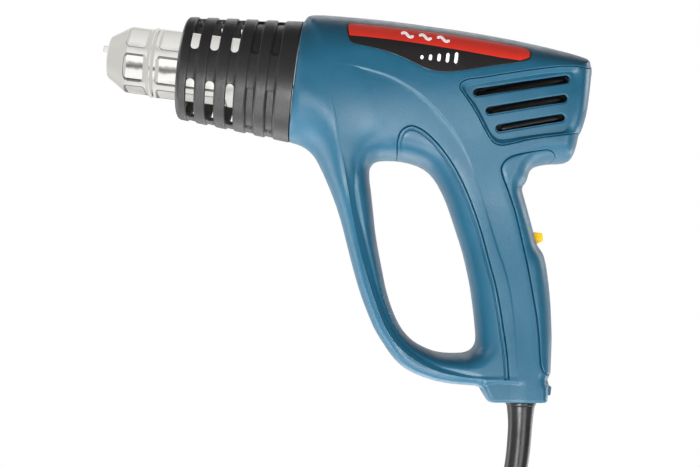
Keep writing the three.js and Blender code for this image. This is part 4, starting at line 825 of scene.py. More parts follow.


# tone stops of the painted reflection on the polished steel
CHROME_PAINTED_REFLECTION_STOPS = [
    (0.08, 0.80), (0.16, 0.52), (0.23, 0.90), (0.295, 0.82), (0.32, 0.14), (0.345, 0.05),
    (0.37, 0.30), (0.395, 0.93), (0.55, 0.90), (0.66, 0.78), (0.74, 0.56), (0.83, 0.84),
    (0.93, 0.72)]
# tone stops of the painted darker reflection on the pressed edges and beads
DARK_EDGE_PAINTED_REFLECTION_STOPS = [
    (0.1, 0.30), (0.2, 0.05), (0.3, 0.04), (0.4, 0.10), (0.5, 0.22), (0.62, 0.26), (0.75, 0.30),
    (0.9, 0.38)]
FILM = dict(grain=0.000008, grain_scale=1800)
MAT = {
    "blue": moulded("housing_plastic", (0.014, 0.118, 0.205), rough=0.37, grain=0.00012,
                    grain_scale=1900, edge_wear_and_highlight=0.10),
    "blue_smooth": moulded("cover_plastic", (0.013, 0.114, 0.198), rough=0.36,
                           grain_scale=2200, edge_wear_and_highlight=0.10),
    "guard": moulded("guard_plastic", (0.024, 0.024, 0.024), rough=0.40, grain=0.00012,
                     grain_scale=1200, edge_wear_and_highlight=0.05),
    # the red film carries a faint painted glow
    "red": moulded("label_red", (0.86, 0.040, 0.022), rough=0.33,
                   glow=((1.0, 0.05, 0.03), 0.12), **FILM),
    "black_film": moulded("label_black", (0.018, 0.016, 0.016), rough=0.36, **FILM),
    # the white film carries a painted glow
    "white_film": moulded("label_white", (0.85, 0.85, 0.83), rough=0.4,
                          glow=((1, 1, 1), 0.40), **FILM),
    # the switch carries a painted glow
    "yellow": moulded("switch_plastic", (0.95, 0.56, 0.004), rough=0.4, grain=0.00002,
                      grain_scale=2500, edge_wear_and_highlight=0.1, glow=((1.0, 0.52, 0.0), 0.34)),
    "rubber": moulded("cord_rubber", (0.012, 0.012, 0.013), rough=0.30, grain=0.00006,
                      edge_wear_and_highlight=0.05),
    "inner": moulded("inner_plastic", (0.03, 0.03, 0.032), rough=0.5, edge_wear_and_highlight=0.05),
    "natural": moulded("fan_plastic", (0.62, 0.6, 0.52), rough=0.45, grain=0.00003),
    "mica": moulded("mica", (0.42, 0.34, 0.22), rough=0.6, grain=0.00008, grain_scale=700),
    "ceramic": moulded("ceramic", (0.78, 0.75, 0.66), rough=0.7, grain=0.00006,
                       grain_scale=900),
    "board": moulded("circuit_board", (0.02, 0.16, 0.06), rough=0.35, grain=0.00003,
                     grain_scale=1200),
    # polished steel whose look is mostly a painted reflection glow
    "chrome": chrome_with_painted_reflection("steel_painted_reflection", (0.80, 0.79, 0.76), CHROME_PAINTED_REFLECTION_STOPS),
    # darker steel carrying a painted darker reflection, for the pressed edges and beads
    "painted_dark_chrome_edge": chrome_with_painted_reflection("steel_painted_dark_edge", (0.5, 0.49, 0.47), DARK_EDGE_PAINTED_REFLECTION_STOPS),
    "tube": metal("heater_steel", (0.74, 0.73, 0.71), rough=0.16, grain=400,
                  rough_spread=0.08, tint=(0.66, 0.62, 0.56)),
    "steel": metal("zinc_steel", (0.62, 0.62, 0.60), rough=0.3),
    "copper": metal("copper", (0.72, 0.36, 0.2), rough=0.3),
    "brass": metal("brass", (0.75, 0.58, 0.28), rough=0.22, streak=0.2),
    "black_void": moulded("grille_plastic", (0.012, 0.012, 0.013), rough=0.35, edge_wear_and_highlight=0.05),
}


# ---------------------------------------------------------------- shells, cap, grip covers
def slot_outline(x0, z0, x1, z1):
    slant = math.atan2(z1 - z0, x1 - x0)
    ends = [(x + SLOT_R * math.cos(slant + turn + t), z + SLOT_R * math.sin(slant + turn + t))
            for x, z, turn in ((x1, z1, -math.pi / 2), (x0, z0, math.pi / 2))
            for t in np.linspace(0, math.pi, 13)]
    ends = np.array(ends)
    return np.vstack([resample(ends[:13], 0.5), resample(ends[12:14], 1.2)[1:-1],
                      resample(ends[13:], 0.5), resample([ends[-1], ends[0]], 1.2)[1:-1]])


slot_loops = [slot_outline(*slot) for slot in SLOTS]


def trim(points):
    points = points[points[:, 0] > FRONT_X + 0.02]
    return points[body_mask(points)]


def beside(line, offsets, loop=False):
    """The line moved to both sides by each offset, trimmed to the body."""
    return [trim(shifted(line, sign * d, loop)) for d in offsets for sign in (-1, 1)]


def side_domain():
    """Flat triangulation of the gun's side view, dense along edges and seams."""
    lines = [shifted(seam, d) for seam in seams for d in (-SEAM_HALF, SEAM_HALF)]
    lines += [trim(shifted(palm_seam, d))[3:-2]
              for d in (GROOVE_SIDE - GROOVE_HALF, GROOVE_SIDE, GROOVE_SIDE + GROOVE_HALF)]
    lines += [palm_close, crease[2:], ridge[1:-8], closed(cap_floor), closed(label_line)]
    around = np.linspace(0, 2 * math.pi, 28, endpoint=False)
    for radius in (SCREW_R, SCREW_FLOOR_R):
        for x, z in SCREWS:
            lines.append(closed(np.array(
                [(x + radius * math.cos(t), z + radius * math.sin(t)) for t in around])))
    edge = []
    for d in (0.03, 0.12, 0.3, 0.6, 1.0, 1.6, 2.4, 3.4, 4.6):
        for line in (outline, loop_edge):
            edge += [q[edge_distance(q) > d * 0.8] for q in beside(line, (d,), True)]
    close = []
    for seam in seams:
        close += beside(seam, (0.22, 0.34, 0.48, 0.62, 0.85))
    close += [trim(shifted(palm_seam, d)) for d in (
        GROOVE_SIDE + 0.18, GROOVE_SIDE - 0.18, GROOVE_SIDE + 0.34, GROOVE_SIDE - 0.34, -2.7)]
    close += beside(crease, (0.3, 0.6, 0.9, 1.2))
    # the negative offsets place their left-hand line first
    close += beside(ridge, (-0.25, -0.5, 1.0, 1.5, 2.0, 2.5, 3.0, 3.6, 4.2, 4.8, 5.4))
    close += beside(cap_floor, (0.3, 0.7, 1.2), True)
    close += beside(label_line, (0.12, 0.3), True)
    for slot in slot_loops:
        close += [q[~inside(q, slot)] for q in beside(slot, (0.2, 0.42, 0.64, 0.9), True)]
    points, faces = build_domain([outline, loop_edge] + slot_loops, lines,
                                 [(0.02, np.vstack(edge)), (0.11, np.vstack(close))],
                                 1.7, body_mask)
    tri = fan(faces, points)
    centres = points[tri].mean(1)
    keep = body_mask(centres)
    for slot in slot_loops:
        keep &= ~inside(centres, slot)
    return points, tri[keep], centres[keep]


side_points, side_tri, side_centres = side_domain()
plain_side, soft_dist = plain_height(side_points)
carve = detail_depth(side_points)
in_gap = nearest_of(side_centres, seams) < SEAM_HALF - 0.001
BODY, CAP, REAR_COVER, PALM_COVER = range(4)
side_part = np.where(inside(side_centres, cap_region), CAP,
                     np.where(inside(side_centres, rear_region), REAR_COVER,
                              np.where(inside(side_centres, palm_region), PALM_COVER, BODY)))


def half_sheet(part, side):
    """Outer points, plain points and faces of one part on one side (-1 left, 1 right)."""
    height = plain_side - carve * np.clip(plain_side / 3.0, 0, 1)
    if side > 0:
        # screw wells, with a slightly sunk rim
        for x, z in SCREWS:
            radius = np.hypot(side_points[:, 0] - x, side_points[:, 1] - z)
            height = np.where(radius < 3.46, np.minimum(height, SCREW_DEPTH_Y), height)
            height = np.where((radius >= 3.46) & (radius < 3.9), height - 0.2, height)
    # the two shells stop short of the parting plane; the other parts meet on it
    least = 0.09 if part == BODY else 0.0
    height = np.where(soft_dist < 1e-4, least, np.maximum(height, least))
    faces = side_tri[(side_part == part) & ~in_gap]
    used = np.unique(faces)
    index = -np.ones(len(side_points), int)
    index[used] = np.arange(len(used))
    x = np.minimum(side_points[:, 0], 0.0)
    outer, plain = (np.stack([x, side * y, side_points[:, 1]], 1)[used]
                    for y in (height, np.maximum(plain_side, least)))
    return outer, plain, index[faces if side < 0 else faces[:, ::-1]]


def largest_part(outer, plain, faces):
    """Drops slivers that the seams cut loose."""
    first, faces = weld(outer, faces)
    parent = np.arange(faces.max() + 1)

    def find(i):
        while parent[i] != i:
            parent[i] = parent[parent[i]]
            i = parent[i]
        return i
    for a, b, c in faces:
        parent[find(b)] = find(a)
        parent[find(c)] = find(a)
    group = np.array([find(i) for i in range(len(parent))])[faces[:, 0]]
    values, counts = np.unique(group, return_counts=True)
    return outer[first], plain[first], faces[group == values[counts.argmax()]]


def body_part(name, part, sides, material):
    outer, plain, faces = half_sheet(part, sides[0])
    if len(sides) == 2:
        other_outer, other_plain, other_faces = half_sheet(part, sides[1])
        faces = np.vstack([faces, other_faces + len(outer)])
        outer, plain = np.vstack([outer, other_outer]), np.vstack([plain, other_plain])
    return shell_mesh(name, *largest_part(outer, plain, faces), WALL, MAT[material], body=True)


shell_left = body_part("shell_left", BODY, (-1,), "blue")
shell_right = body_part("shell_right", BODY, (1,), "blue")
intake_cap = body_part("intake_cap", CAP, (-1, 1), "blue_smooth")
rear_cover = body_part("grip_cover_rear", REAR_COVER, (-1, 1), "blue_smooth")
palm_cover = body_part("grip_cover_front", PALM_COVER, (-1, 1), "blue_smooth")

# switch frame on the back of the grip: out of the grip, and up along it
SWITCH_ORIGIN = np.array([-20.4, 0, -57.4])
SWITCH_OUT = np.array([0.921, 0, 0.389])
SWITCH_UP = np.array([-0.389, 0, 0.921])
KNOB_UP = -8.2       # the knob's place along the grip


def switch_point(out, y, up):
    return SWITCH_ORIGIN + out * SWITCH_OUT + up * SWITCH_UP + np.array([0, y, 0])


def switch_cutter(out, half_y, up, radius):
    """Block in the switch frame, its four long edges rounded; out and up are (low, high)."""
    loop = []
    low, high = up[0] + radius, up[1] - radius
    side = half_y - radius
    for y, t, start in ((side, high, 0), (-side, high, 90), (-side, low, 180), (side, low, 270)):
        for a in np.radians(np.linspace(start, start + 90, 7)):
            loop.append((y + radius * math.cos(a), t + radius * math.sin(a)))
    points = np.array([switch_point(n, y, t) for n in out for y, t in loop])
    return mesh_object("cutter", points, loft_faces(2, len(loop)), MAT["blue_smooth"])


# the slot through the cover, then the wider shallow recess round it
cut(rear_cover, switch_cutter((-9, 9), 3.5, (KNOB_UP - 3.2, KNOB_UP + 15.2), radius=0.9))
cut(rear_cover, switch_cutter((0.15, 9), 6.6, (KNOB_UP - 3.6, KNOB_UP + 16.0), radius=1.6))
place(shell_left, "housing_left")
place(shell_right, "housing_right")
place(intake_cap, "rear_cap")
place(rear_cover, "rear_grip_cover")
place(palm_cover, "front_grip_cover")


def soft_block(name, low, high, radius, material):
    """Closed block with rounded edges, from a cube map."""
    low, high = np.array(low, float), np.array(high, float)
    centre, half = (low + high) / 2, (high - low) / 2
    cells = 14
    grid = [signed_power(g, 0.5) for g in np.linspace(-1, 1, cells + 1)]
    points, faces, ids = [], [], {}

    def put(unit):
        key = tuple(np.round(unit, 6))
        if key not in ids:
            q = np.array(unit) * half
            core = np.clip(q, -(half - radius), half - radius)
            away = q - core
            length = np.linalg.norm(away)
            ids[key] = len(points)
            points.append(centre + core + (away / length * radius if length > 1e-9 else 0))
        return ids[key]
    for axis in range(3):
        for sign in (-1, 1):
            for i in range(cells):
                for j in range(cells):
                    quad = []
                    for a, b in ((i, j), (i + 1, j), (i + 1, j + 1), (i, j + 1)):
                        unit = [0, 0, 0]
                        unit[axis], unit[(axis + 1) % 3], unit[(axis + 2) % 3] = (
                            sign, grid[a], grid[b])
                        quad.append(put(unit))
                    faces.append(tuple(quad if sign > 0 else quad[::-1]))
    return mesh_object(name, np.array(points), faces, material, sharp=60)


pad = soft_block("foot_pad", (-4.4, -13.2, -143.6), (-0.02, 13.2, -139.0), 0.55, MAT["blue"])
place(pad)

# ---------------------------------------------------------------- seam tongues
TONGUE_TOP, TONGUE_DEEP, TONGUE_HALF = 0.35, 1.6, 1.3  # below the edge, height, half width


def seam_tongue(name, line):
    """Closed lip that fills the parting seam from just under the surface."""
    centre = evenly(line, max(int(arc_length(line)[-1] / 1.2), 4))
    inward = left_normals(centre)
    if body_mask(centre + 3 * inward).mean() < 0.5:
        inward = -inward
    points = []
    for (x0, z0), (x1, z1) in zip(centre + TONGUE_TOP * inward,
                                  centre + (TONGUE_TOP + TONGUE_DEEP) * inward):
        points += [(x0, -TONGUE_HALF, z0), (x0, TONGUE_HALF, z0),
                   (x1, TONGUE_HALF, z1), (x1, -TONGUE_HALF, z1)]
    return mesh_object(name, np.array(points), loft_faces(len(centre), 4), MAT["blue"], sharp=50)


def runs(line, keep):
    """Unbroken stretches of kept points, of at least four points each."""
    cuts = np.flatnonzero(np.diff(keep)) + 1
    return [part for part, kept in zip(np.split(line, cuts), np.split(keep, cuts))
            if kept[0] and len(part) > 3]


tongue_lines = []
for edge_line in (rear_edge, bow_edge):
    edge_line = evenly(edge_line, int(arc_length(edge_line)[-1] / 1.0) + 2)
    x, z = edge_line.T
    at_switch = (z > -71) & (z < -46.5) & (x > -40)
    tongue_lines += runs(edge_line, (x > -132) & ~at_switch & (z > -149))
for i, tongue_line in enumerate(tongue_lines):
    place(seam_tongue("seam_tongue_%d" % (i + 1), tongue_line))


# ---------------------------------------------------------------- labels
def label_patch(side, tag):
    """Film with a black border, red above the split line and black below it."""
    rings = np.vstack([shifted(label_line, sign * d, True)
                       for d in (0.06, 0.14, 0.26) for sign in (-1, 1)])
    border = shifted(label_line, -FRAME_INSET, True)
    split = spline(LABEL_SPLIT, 1.2)
    split = split[inside(split, border)]
    points, faces = build_domain([label_line], [closed(border), split],
                                 [(0.04, rings[inside(rings, label_line)])], 1.7,
                                 lambda grid: inside(grid, label_line))
    tri = fan(faces, points)
    centres = points[tri].mean(1)
    keep = inside(centres, label_line)
    tri, centres = tri[keep], centres[keep]
    plain = plain_height(points)[0]
    # the film stands 0.10 proud, and its edge rounds off by 0.14 over 0.26
    edge = 1 - np.clip(distance(points, closed(label_line)) / 0.26, 0, 1)
    top = plain + 0.10 - 0.14 * (1 - np.sqrt(np.clip(1 - edge ** 2, 0, 1)))
    outer, inner = (np.stack([points[:, 0], side * y, points[:, 1]], 1)
                    for y in (top, plain - 0.3))
    faces = closed_faces(tri if side < 0 else tri[:, ::-1], len(points))
    ob = mesh_object("label_film_" + tag, np.vstack([outer, inner]), faces, MAT["black_film"],
                     sharp=38, orient=False)
    ob.data.materials.append(MAT["red"])
    index = np.zeros(len(faces), int)
    above = centres[:, 1] > np.interp(centres[:, 0], split[:, 0], split[:, 1])
    index[:len(tri)] = above & inside(centres, border)
    ob.data.polygons.foreach_set("material_index", index[:len(ob.data.polygons)])
    place(ob, "label_" + tag)


# strip cross-section: across (in half widths), height over the plain surface
STRIP_SECTION = [(-1, 0.04), (-0.9, 0.2), (0, 0.2), (0.9, 0.2), (1, 0.04), (1, -0.15), (-1, -0.15)]


def surface_strip(name, side, line, half):
    """A thin round-ended band that follows the side surface along a line."""
    centre = spline(line, 0.5)
    normals = left_normals(centre)
    arc = arc_length(centre)
    end_dist = np.minimum(arc, arc[-1] - arc)
    width = half * np.sqrt(np.clip(1 - (1 - np.clip(end_dist / half, 0, 1)) ** 2, 0.02, 1))
    rows = []
    for across, above in STRIP_SECTION:
        q = centre + normals * (width * across)[:, None]
        rows.append(np.stack([q[:, 0], side * (plain_height(q)[0] + above), q[:, 1]], 1))
    n, m = len(centre), len(rows)
    faces = [(a * n + i, a * n + i + 1, (a + 1) % m * n + i + 1, (a + 1) % m * n + i)
             for a in range(m) for i in range(n - 1)]
    faces += [tuple(a * n for a in range(m)), tuple(a * n + n - 1 for a in range(m))[::-1]]
    place(mesh_object(name, np.vstack(rows), faces, MAT["white_film"], sharp=60))


for side, tag in ((-1, "left"), (1, "right")):
    label_patch(side, tag)
    for i in range(3):
        x0 = -99.0 + i * 9.0
        wave = [(x0 + 6.2 * u, 27.15 + 1.15 * math.sin(2 * math.pi * u))
                for u in np.linspace(0, 1, 9)]
        surface_strip(f"label_wave_{tag}_{i + 1}", side, wave, half=0.8)
    for i in range(5):
        x0 = -87.5 + i * 4.2
        bar = [(x0, 15.2), (x0, 16.3 + 0.45 * i), (x0, 17.3 + 0.9 * i)]
        surface_strip(f"label_bar_{tag}_{i + 1}", side, bar, half=0.85)


def rounded(profile, radius, steps):
    """Polyline with its inner corners rounded."""
    pts = [np.array(q, float) for q in profile]
    out = [pts[0]]
    for a, b, c in zip(pts, pts[1:], pts[2:]):
        back, ahead = np.linalg.norm(a - b), np.linalg.norm(c - b)
        r = min(radius, back * 0.45, ahead * 0.45)
        start, end = b + (a - b) / back * r, b + (c - b) / ahead * r
        for t in np.linspace(0, 1, steps + 1):
            out.append((1 - t) ** 2 * start + 2 * t * (1 - t) * b + t * t * end)
    out.append(pts[-1])
    return out


# ---------------------------------------------------------------- barrel guard
GUARD_X0, GUARD_X1 = -208.5, -149.2
GUARD_R0, GUARD_R1 = 26.6, 31.5
GUARD_MEAN_R = 29.0          # turns angle into arc in the unrolled sheet
GUARD_FRONT_FILLET = 2.6
GROOVES = [(-203, -198.2), (-193.1, -188.1), (-182.7, -178.1), (-172.7, -167.7), (-162.5, -157.5)]
OPEN_GROOVES = 3             # the front grooves have real slots, the others sunk panels
SLOT_HALF_ANGLE = math.radians(28.5)


def guard_radius(x):
    return GUARD_R0 + (GUARD_R1 - GUARD_R0) * (x - GUARD_X0) / (GUARD_X1 - GUARD_X0)


def guard_profile():
    """(x, radius) from the front lip, over the cone with its grooves, to the rear lip."""
    fillet_r = GUARD_R0 - GUARD_FRONT_FILLET
    points = [(-206.2, 20.6), (GUARD_X0 + 0.5, 20.7), (GUARD_X0, 21.6), (GUARD_X0, fillet_r)]
    for t in np.linspace(0.15, 1, 7):
        a = t * math.pi / 2
        points.append((GUARD_X0 + 2.4 * (1 - math.cos(a)), fillet_r + 2.75 * math.sin(a)))
    for a, b in GROOVES:
        points += [(a, guard_radius(a)), (a + 0.45, guard_radius(a) - 0.75),
                   (b - 0.45, guard_radius(b) - 0.75), (b, guard_radius(b))]
    points += [(GUARD_X1 - 0.1, GUARD_R1), (GUARD_X1 + 0.1, GUARD_R1 - 1.0),
               (GUARD_X1 + 0.1, 27.5)]
    return resample(rounded(points, 0.42, 3), 0.4)


def obround(centre, radius, middle):
    """Slot outline in the unrolled sheet: (profile arc, angle * mean radius)."""
    straight = SLOT_HALF_ANGLE - radius / GUARD_MEAN_R
    out = []
    for sign in (-1, 1):
        out += [(centre + sign * radius, (middle + t) * GUARD_MEAN_R)
                for t in np.linspace(sign * straight, -sign * straight, 14)]
        out += [(centre + sign * radius * math.cos(t),
                 (middle - sign * straight) * GUARD_MEAN_R - sign * radius * math.sin(t))
                for t in np.linspace(0, math.pi, 9)[1:-1]]
    return np.array(out)


def build_guard():
    profile = guard_profile()
    arc = arc_length(profile)
    start = np.argmax((profile[:, 1] > GUARD_R0) & (profile[:, 0] > GUARD_X0 + 2))
    slots = [obround(np.interp((a + b) / 2, profile[start:, 0], arc[start:]),
                     (b - a) / 2 - 0.25, math.pi / 4 + quarter * math.pi / 2)
             for a, b in GROOVES for quarter in range(4)]
    holes, panels = slots[:4 * OPEN_GROOVES], slots[4 * OPEN_GROOVES:]

    around = np.linspace(0, 2 * math.pi, 151) * GUARD_MEAN_R
    frame_loop = [(arc[0], t) for t in around]
    frame_loop += [(s, around[-1]) for s in arc[1:]]
    frame_loop += [(arc[-1], t) for t in around[::-1][1:]]
    frame_loop += [(s, around[0]) for s in arc[::-1][1:-1]]
    points, edges = [], []
    for loop in [frame_loop] + slots:
        base = len(points)
        points += [tuple(q) for q in loop]
        edges += [(base + i, base + (i + 1) % len(loop)) for i in range(len(loop))]
    grid = np.array([(s, t) for s in arc[1:-1] for t in around[1:-1]])
    grid = grid[nearest_of(grid, [closed(loop) for loop in slots]) > 0.45]
    sheet, faces = cdt(points + [tuple(q) for q in grid], edges)
    tri = fan(faces, sheet)
    centres = sheet[tri].mean(1)
    keep = (centres[:, 1] > 0) & (centres[:, 1] < around[-1])
    for loop in holes:
        keep &= ~inside(centres, loop)

    sink = np.zeros(len(sheet))
    for loop in panels:
        panel = smooth(distance(sheet, closed(loop)) / 0.5)
        sink = np.maximum(sink, np.where(inside(sheet, loop), panel, 0))
    for loop in holes:
        dist = distance(sheet, closed(loop))
        sink = np.maximum(sink, np.where(dist < 0.5, 0.25 * (1 - dist / 0.5), 0))
    angle = sheet[:, 1] / GUARD_MEAN_R
    x, radius = (np.interp(sheet[:, 0], arc, profile[:, k]) for k in range(2))
    outer, plain = (np.stack([x, -r * np.cos(angle), -r * np.sin(angle)], 1)
                    for r in (radius - sink, radius))
    # rolled up, the unrolled triangles face the axis, so they are turned over
    return shell_mesh("guard_sleeve", outer, plain, tri[keep][:, ::-1], 2.2, MAT["guard"])


place(build_guard(), "barrel_guard")

# ---------------------------------------------------------------- heater tube and nozzle
TUBE_Z = 0.8                 # height of their axis
TUBE_R = 17.2
PANEL_HALF = 25.5            # half angle of a pressed flat, in degrees; six go round
PANEL_CORNER = 2.6
TUBE_PROFILE = [(-221.6, 16.9), (-221.6, 17.9), (-195, 17.9), (-117, 17.9), (-117, 24.4)]
NOZZLE_PROFILE = [
    (-243.5, 9.0), (-246.0, 9.25), (-246.7, 9.8), (-246.5, 10.6), (-245.9, 11.2), (-237.6, 16.5),
    (-236.0, 17.2), (-233.5, 17.25), (-224.9, 17.2), (-224.3, 17.5), (-223.7, 18.1),
    (-222.9, 18.1), (-222.5, 17.5), (-222.2, 16.6), (-221.6, 15.2), (-218.5, 14.6)]


def panel_inset(x, angle, span):
    """Distance inside the border of the nearest pressed flat, and degrees from its middle."""
    off = (np.degrees(angle) - 19 + 3600) % 60
    off = np.where(off > 30, off - 60, off)
    along = np.minimum(x - span[0], span[1] - x)
    across = (PANEL_HALF - np.abs(off)) * 0.3
    inset = PANEL_CORNER - np.hypot(PANEL_CORNER - np.minimum(along, PANEL_CORNER),
                                    PANEL_CORNER - np.minimum(across, PANEL_CORNER))
    return inset, off


def pressed(x, angle, span, depth):
    inset, off = panel_inset(x, angle, span)
    flat = math.cos(math.radians(PANEL_HALF)) * TUBE_R / np.cos(np.radians(off)) - TUBE_R
    return np.where(inset > 0, smooth(inset / 1.6) * (flat * 0.82 - depth), 0)


def turned_sheet(profile, segments, span, depth, wall):
    """Skin turned round x from (x, radius), with pressed flats, and an inner skin."""
    normals = left_normals(profile)
    rows, angle = np.meshgrid(np.arange(len(profile)),
                              np.linspace(0, 2 * math.pi, segments, endpoint=False),
                              indexing="ij")
    x, radius = profile[rows, 0], profile[rows, 1]
    move = pressed(x, angle, span, depth) * np.abs(normals[rows, 1])

    def skin(xs, r):
        return np.stack([xs, -r * np.cos(angle), -r * np.sin(angle) + TUBE_Z], -1).reshape(-1, 3)
    points = np.vstack([skin(x, radius + move),
                        skin(x - normals[rows, 0] * wall,
                             radius + normals[rows, 1] * -wall + move)])
    m, k = segments, len(profile) * segments
    last = k - m
    faces = []
    for i in range(len(profile) - 1):
        for j in range(m):
            j2 = (j + 1) % m
            a, b, c, d = i * m + j, i * m + j2, (i + 1) * m + j2, (i + 1) * m + j
            faces += [(a, d, c, b), (a + k, b + k, c + k, d + k)]
    for j in range(m):
        j2 = (j + 1) % m
        faces += [(j, j2, j2 + k, j + k), (last + j2, last + j, last + j + k, last + j2 + k)]
    return points, faces


def paint_dark_edge_reflections(ob, span):
    """The pressed border of each flat, and the beads, get a painted darker reflection, wider on the
    lower side.
    """
    mesh = ob.data
    mesh.materials.append(MAT["painted_dark_chrome_edge"])
    centres = np.zeros(len(mesh.polygons) * 3)
    mesh.polygons.foreach_get("center", centres)
    x, y, z = (centres.reshape(-1, 3) / MM).T
    inset = panel_inset(x, np.arctan2(-(z - TUBE_Z), -y), span)[0]
    outside = np.hypot(y, z - TUBE_Z) > 15.2
    # the painted dark border is wider on the lower side
    low = z < TUBE_Z + 2
    border = (inset > np.where(low, 0.1, 0.3)) & (inset < np.where(low, 1.25, 0.9))
    bead = ((x > -222.4) & (x < -221.3)) | ((x > -225.0) & (x < -224.5))
    index = np.where((border | bead) & outside, 1, 0)
    mesh.polygons.foreach_set("material_index", index.astype(np.int32))


def turned_part(name, profile, fillet, step, segments, span, depth, wall):
    """span is the x range of the pressed flats."""
    profile = resample(rounded(profile, fillet, 4), step)
    ob = mesh_object(name, *turned_sheet(profile, segments, span, depth, wall), MAT["chrome"])
    paint_dark_edge_reflections(ob, span)
    return ob


tube = turned_part("heater_tube_skin", TUBE_PROFILE, fillet=0.5, step=0.55, segments=180,
                   span=(-220.2, -183), depth=0.05, wall=0.6)
place(tube, "heater_tube")
nozzle = turned_part("nozzle_skin", NOZZLE_PROFILE, fillet=0.45, step=0.35, segments=200,
                     span=(-237.0, -225.2), depth=0.1, wall=0.8)
place(nozzle, "nozzle")
lug = soft_block("nozzle_lug", (-249.3, -8.4, 2.2), (-244.6, -5.0, 5.6), 0.5, MAT["chrome"])
place(lug)

# ---------------------------------------------------------------- cord and boot: (x, y, z)
CORD = [
    (-22, 0, -122), (-17.6, 0, -131.5), (-13.5, 0, -147), (-11.4, 0, -165), (-11.0, 0, -183),
    (-13.2, 0, -203), (-22.8, 0, -221), (-42, 0, -231), (-60, 0, -234.5)]
CORD_R = 3.75
BOOT = [(-12.85, 0, -149.4), (-11.4, 0, -165), (-11.0, 0, -183), (-12.5, 0, -198)]


def sweep(points, radius, steps, segments):
    """Round bar along a curve; radius takes the fraction of its length."""
    path = evenly(resample(through(points, 20), 0.5), steps + 1)
    tangents = np.gradient(path, axis=0)
    tangents /= np.linalg.norm(tangents, axis=1, keepdims=True)
    out = []
    for i in range(steps + 1):
        across = np.cross(np.array([0, 1.0, 0]), tangents[i])
        across /= np.linalg.norm(across)
        other = np.cross(tangents[i], across)
        r = radius(i / steps)
        out += [path[i] + r * (math.cos(a) * across + math.sin(a) * other)
                for a in turns(segments)]
    return np.array(out), loft_faces(steps + 1, segments)


def boot_radius(t):
    """Tapers over the first third, with a bead near the top and a rounded lower end."""
    depth = t * 49
    if t < 0.34:
        r = 7.75 - 1.55 * (t / 0.34) * (2 - t / 0.34)
    else:
        r = 6.2 - 0.5 * (t - 0.34)
    from_bead = abs(depth - 1.3) / 0.95
    if from_bead < 1:
        r += 0.42 * math.sqrt(1 - from_bead ** 4)
    elif depth < 2.3:
        r -= 0.25
    if t > 0.97:
        r -= 1.0 * (1 - math.sqrt(max(0.0, 1 - ((t - 0.97) / 0.03) ** 2)))
    return r


cord = mesh_object("mains_cord", *sweep(CORD, lambda t: CORD_R, 160, 32), MAT["rubber"])
place(cord, "power_cord")
boot = mesh_object("bend_relief", *sweep(BOOT, boot_radius, 300, 48), MAT["rubber"])
place(boot, "cord_boot")

# ---------------------------------------------------------------- switch knob
# (out of the grip, up along it)
KNOB_SECTION = [
    (0.1, -3.15), (2.1, -2.95), (3.75, -2.7), (4.1, -2.2), (4.4, -0.8), (4.6, 0.8), (4.45, 1.5),
    (3.9, 1.85), (2.2, 2.5), (0.1, 3.4)]
KNOB_Y = (-6.2, -5.9, -5.2, -3, 0, 3, 5.2, 5.9, 6.2)


def build_knob():
    points = []
    for y in KNOB_Y:
        shrink = 1 - 0.06 * max(0, abs(y) - 5.2)
        points += [switch_point(out * shrink, y, KNOB_UP + up * shrink)
                   for out, up in KNOB_SECTION]
    faces = loft_faces(len(KNOB_Y), len(KNOB_SECTION))
    ob = mesh_object("slide_knob", np.array(points), faces, MAT["yellow"], sharp=30)
    bevel = ob.modifiers.new("edge", "BEVEL")
    bevel.width = 0.35 * MM
    bevel.segments = 3
    bevel.limit_method = "ANGLE"
    bevel.angle_limit = math.radians(25)
    apply_modifiers(ob, sharp=30)
    return ob


place(build_knob(), "switch_slider", parent="switch_knob")

# ---------------------------------------------------------------- plug, lying along x
PLUG_X, PLUG_Z = -61.5, -234.6
# x from PLUG_X, half width (y), half height (z)
PLUG_SECTIONS = [
    (0, 6.2, 5.6), (-1.6, 7.6, 6.2), (-6, 11.5, 7.4), (-12, 15.6, 8.2), (-20, 17.2, 8.4),
    (-30, 17.2, 8.4), (-34.2, 16.9, 8.2), (-35, 16.3, 7.6)]
PLUG_POWER = 2 / 3.2
PIN_X, PIN_Y = -96.8, 9.5
# x from PIN_X, radius
PIN_PROFILE = [(0.3, 0.01), (0.3, 2.4), (-17.2, 2.4), (-18.4, 2.0), (-19, 1.2), (-19, 0.01)]


def build_plug():
    points = [(PLUG_X + dx, half_y * signed_power(math.cos(a), PLUG_POWER),
               PLUG_Z + half_z * signed_power(math.sin(a), PLUG_POWER))
              for dx, half_y, half_z in PLUG_SECTIONS for a in turns(48)]
    ob = mesh_object("plug_moulding", np.array(points), loft_faces(len(PLUG_SECTIONS), 48),
                     MAT["rubber"], sharp=50)
    ob.modifiers.new("s", "SUBSURF").levels = 1
    apply_modifiers(ob, sharp=30)
    return ob


place(build_plug(), "plug_body")
for i, y in enumerate((-PIN_Y, PIN_Y)):
    profile = resample(rounded(PIN_PROFILE, 0.5, 3), 0.5)
    points = [(PIN_X + dx, y + r * math.cos(a), PLUG_Z + r * math.sin(a))
              for dx, r in profile for a in turns(28)]
    pin = mesh_object(f"contact_pin_{i + 1}", np.array(points), loft_faces(len(profile), 28),
                      MAT["brass"])
    place(pin, f"plug_pin_{i + 1}")

# ---------------------------------------------------------------- louvres behind the slots
# outline of the backing plate (x, z), and its rings: sideways shift, y from PLATE_Y
PLATE = [
    (-57, 3.2), (-54.6, 5.8), (-35, 11), (-15.5, 16.2), (-13.2, 14.8), (-13.0, -5.6), (-15, -7),
    (-43, -13.8), (-46, -12.6)]
PLATE_RINGS = [(0.4, 0.0), (0.0, 0.4), (0.0, 1.0), (0.4, 1.4)]
PLATE_Y = 22.1


def louvre_radius(t):
    return 1.75 - 0.5 * (abs(t - 0.5) * 2) ** 12


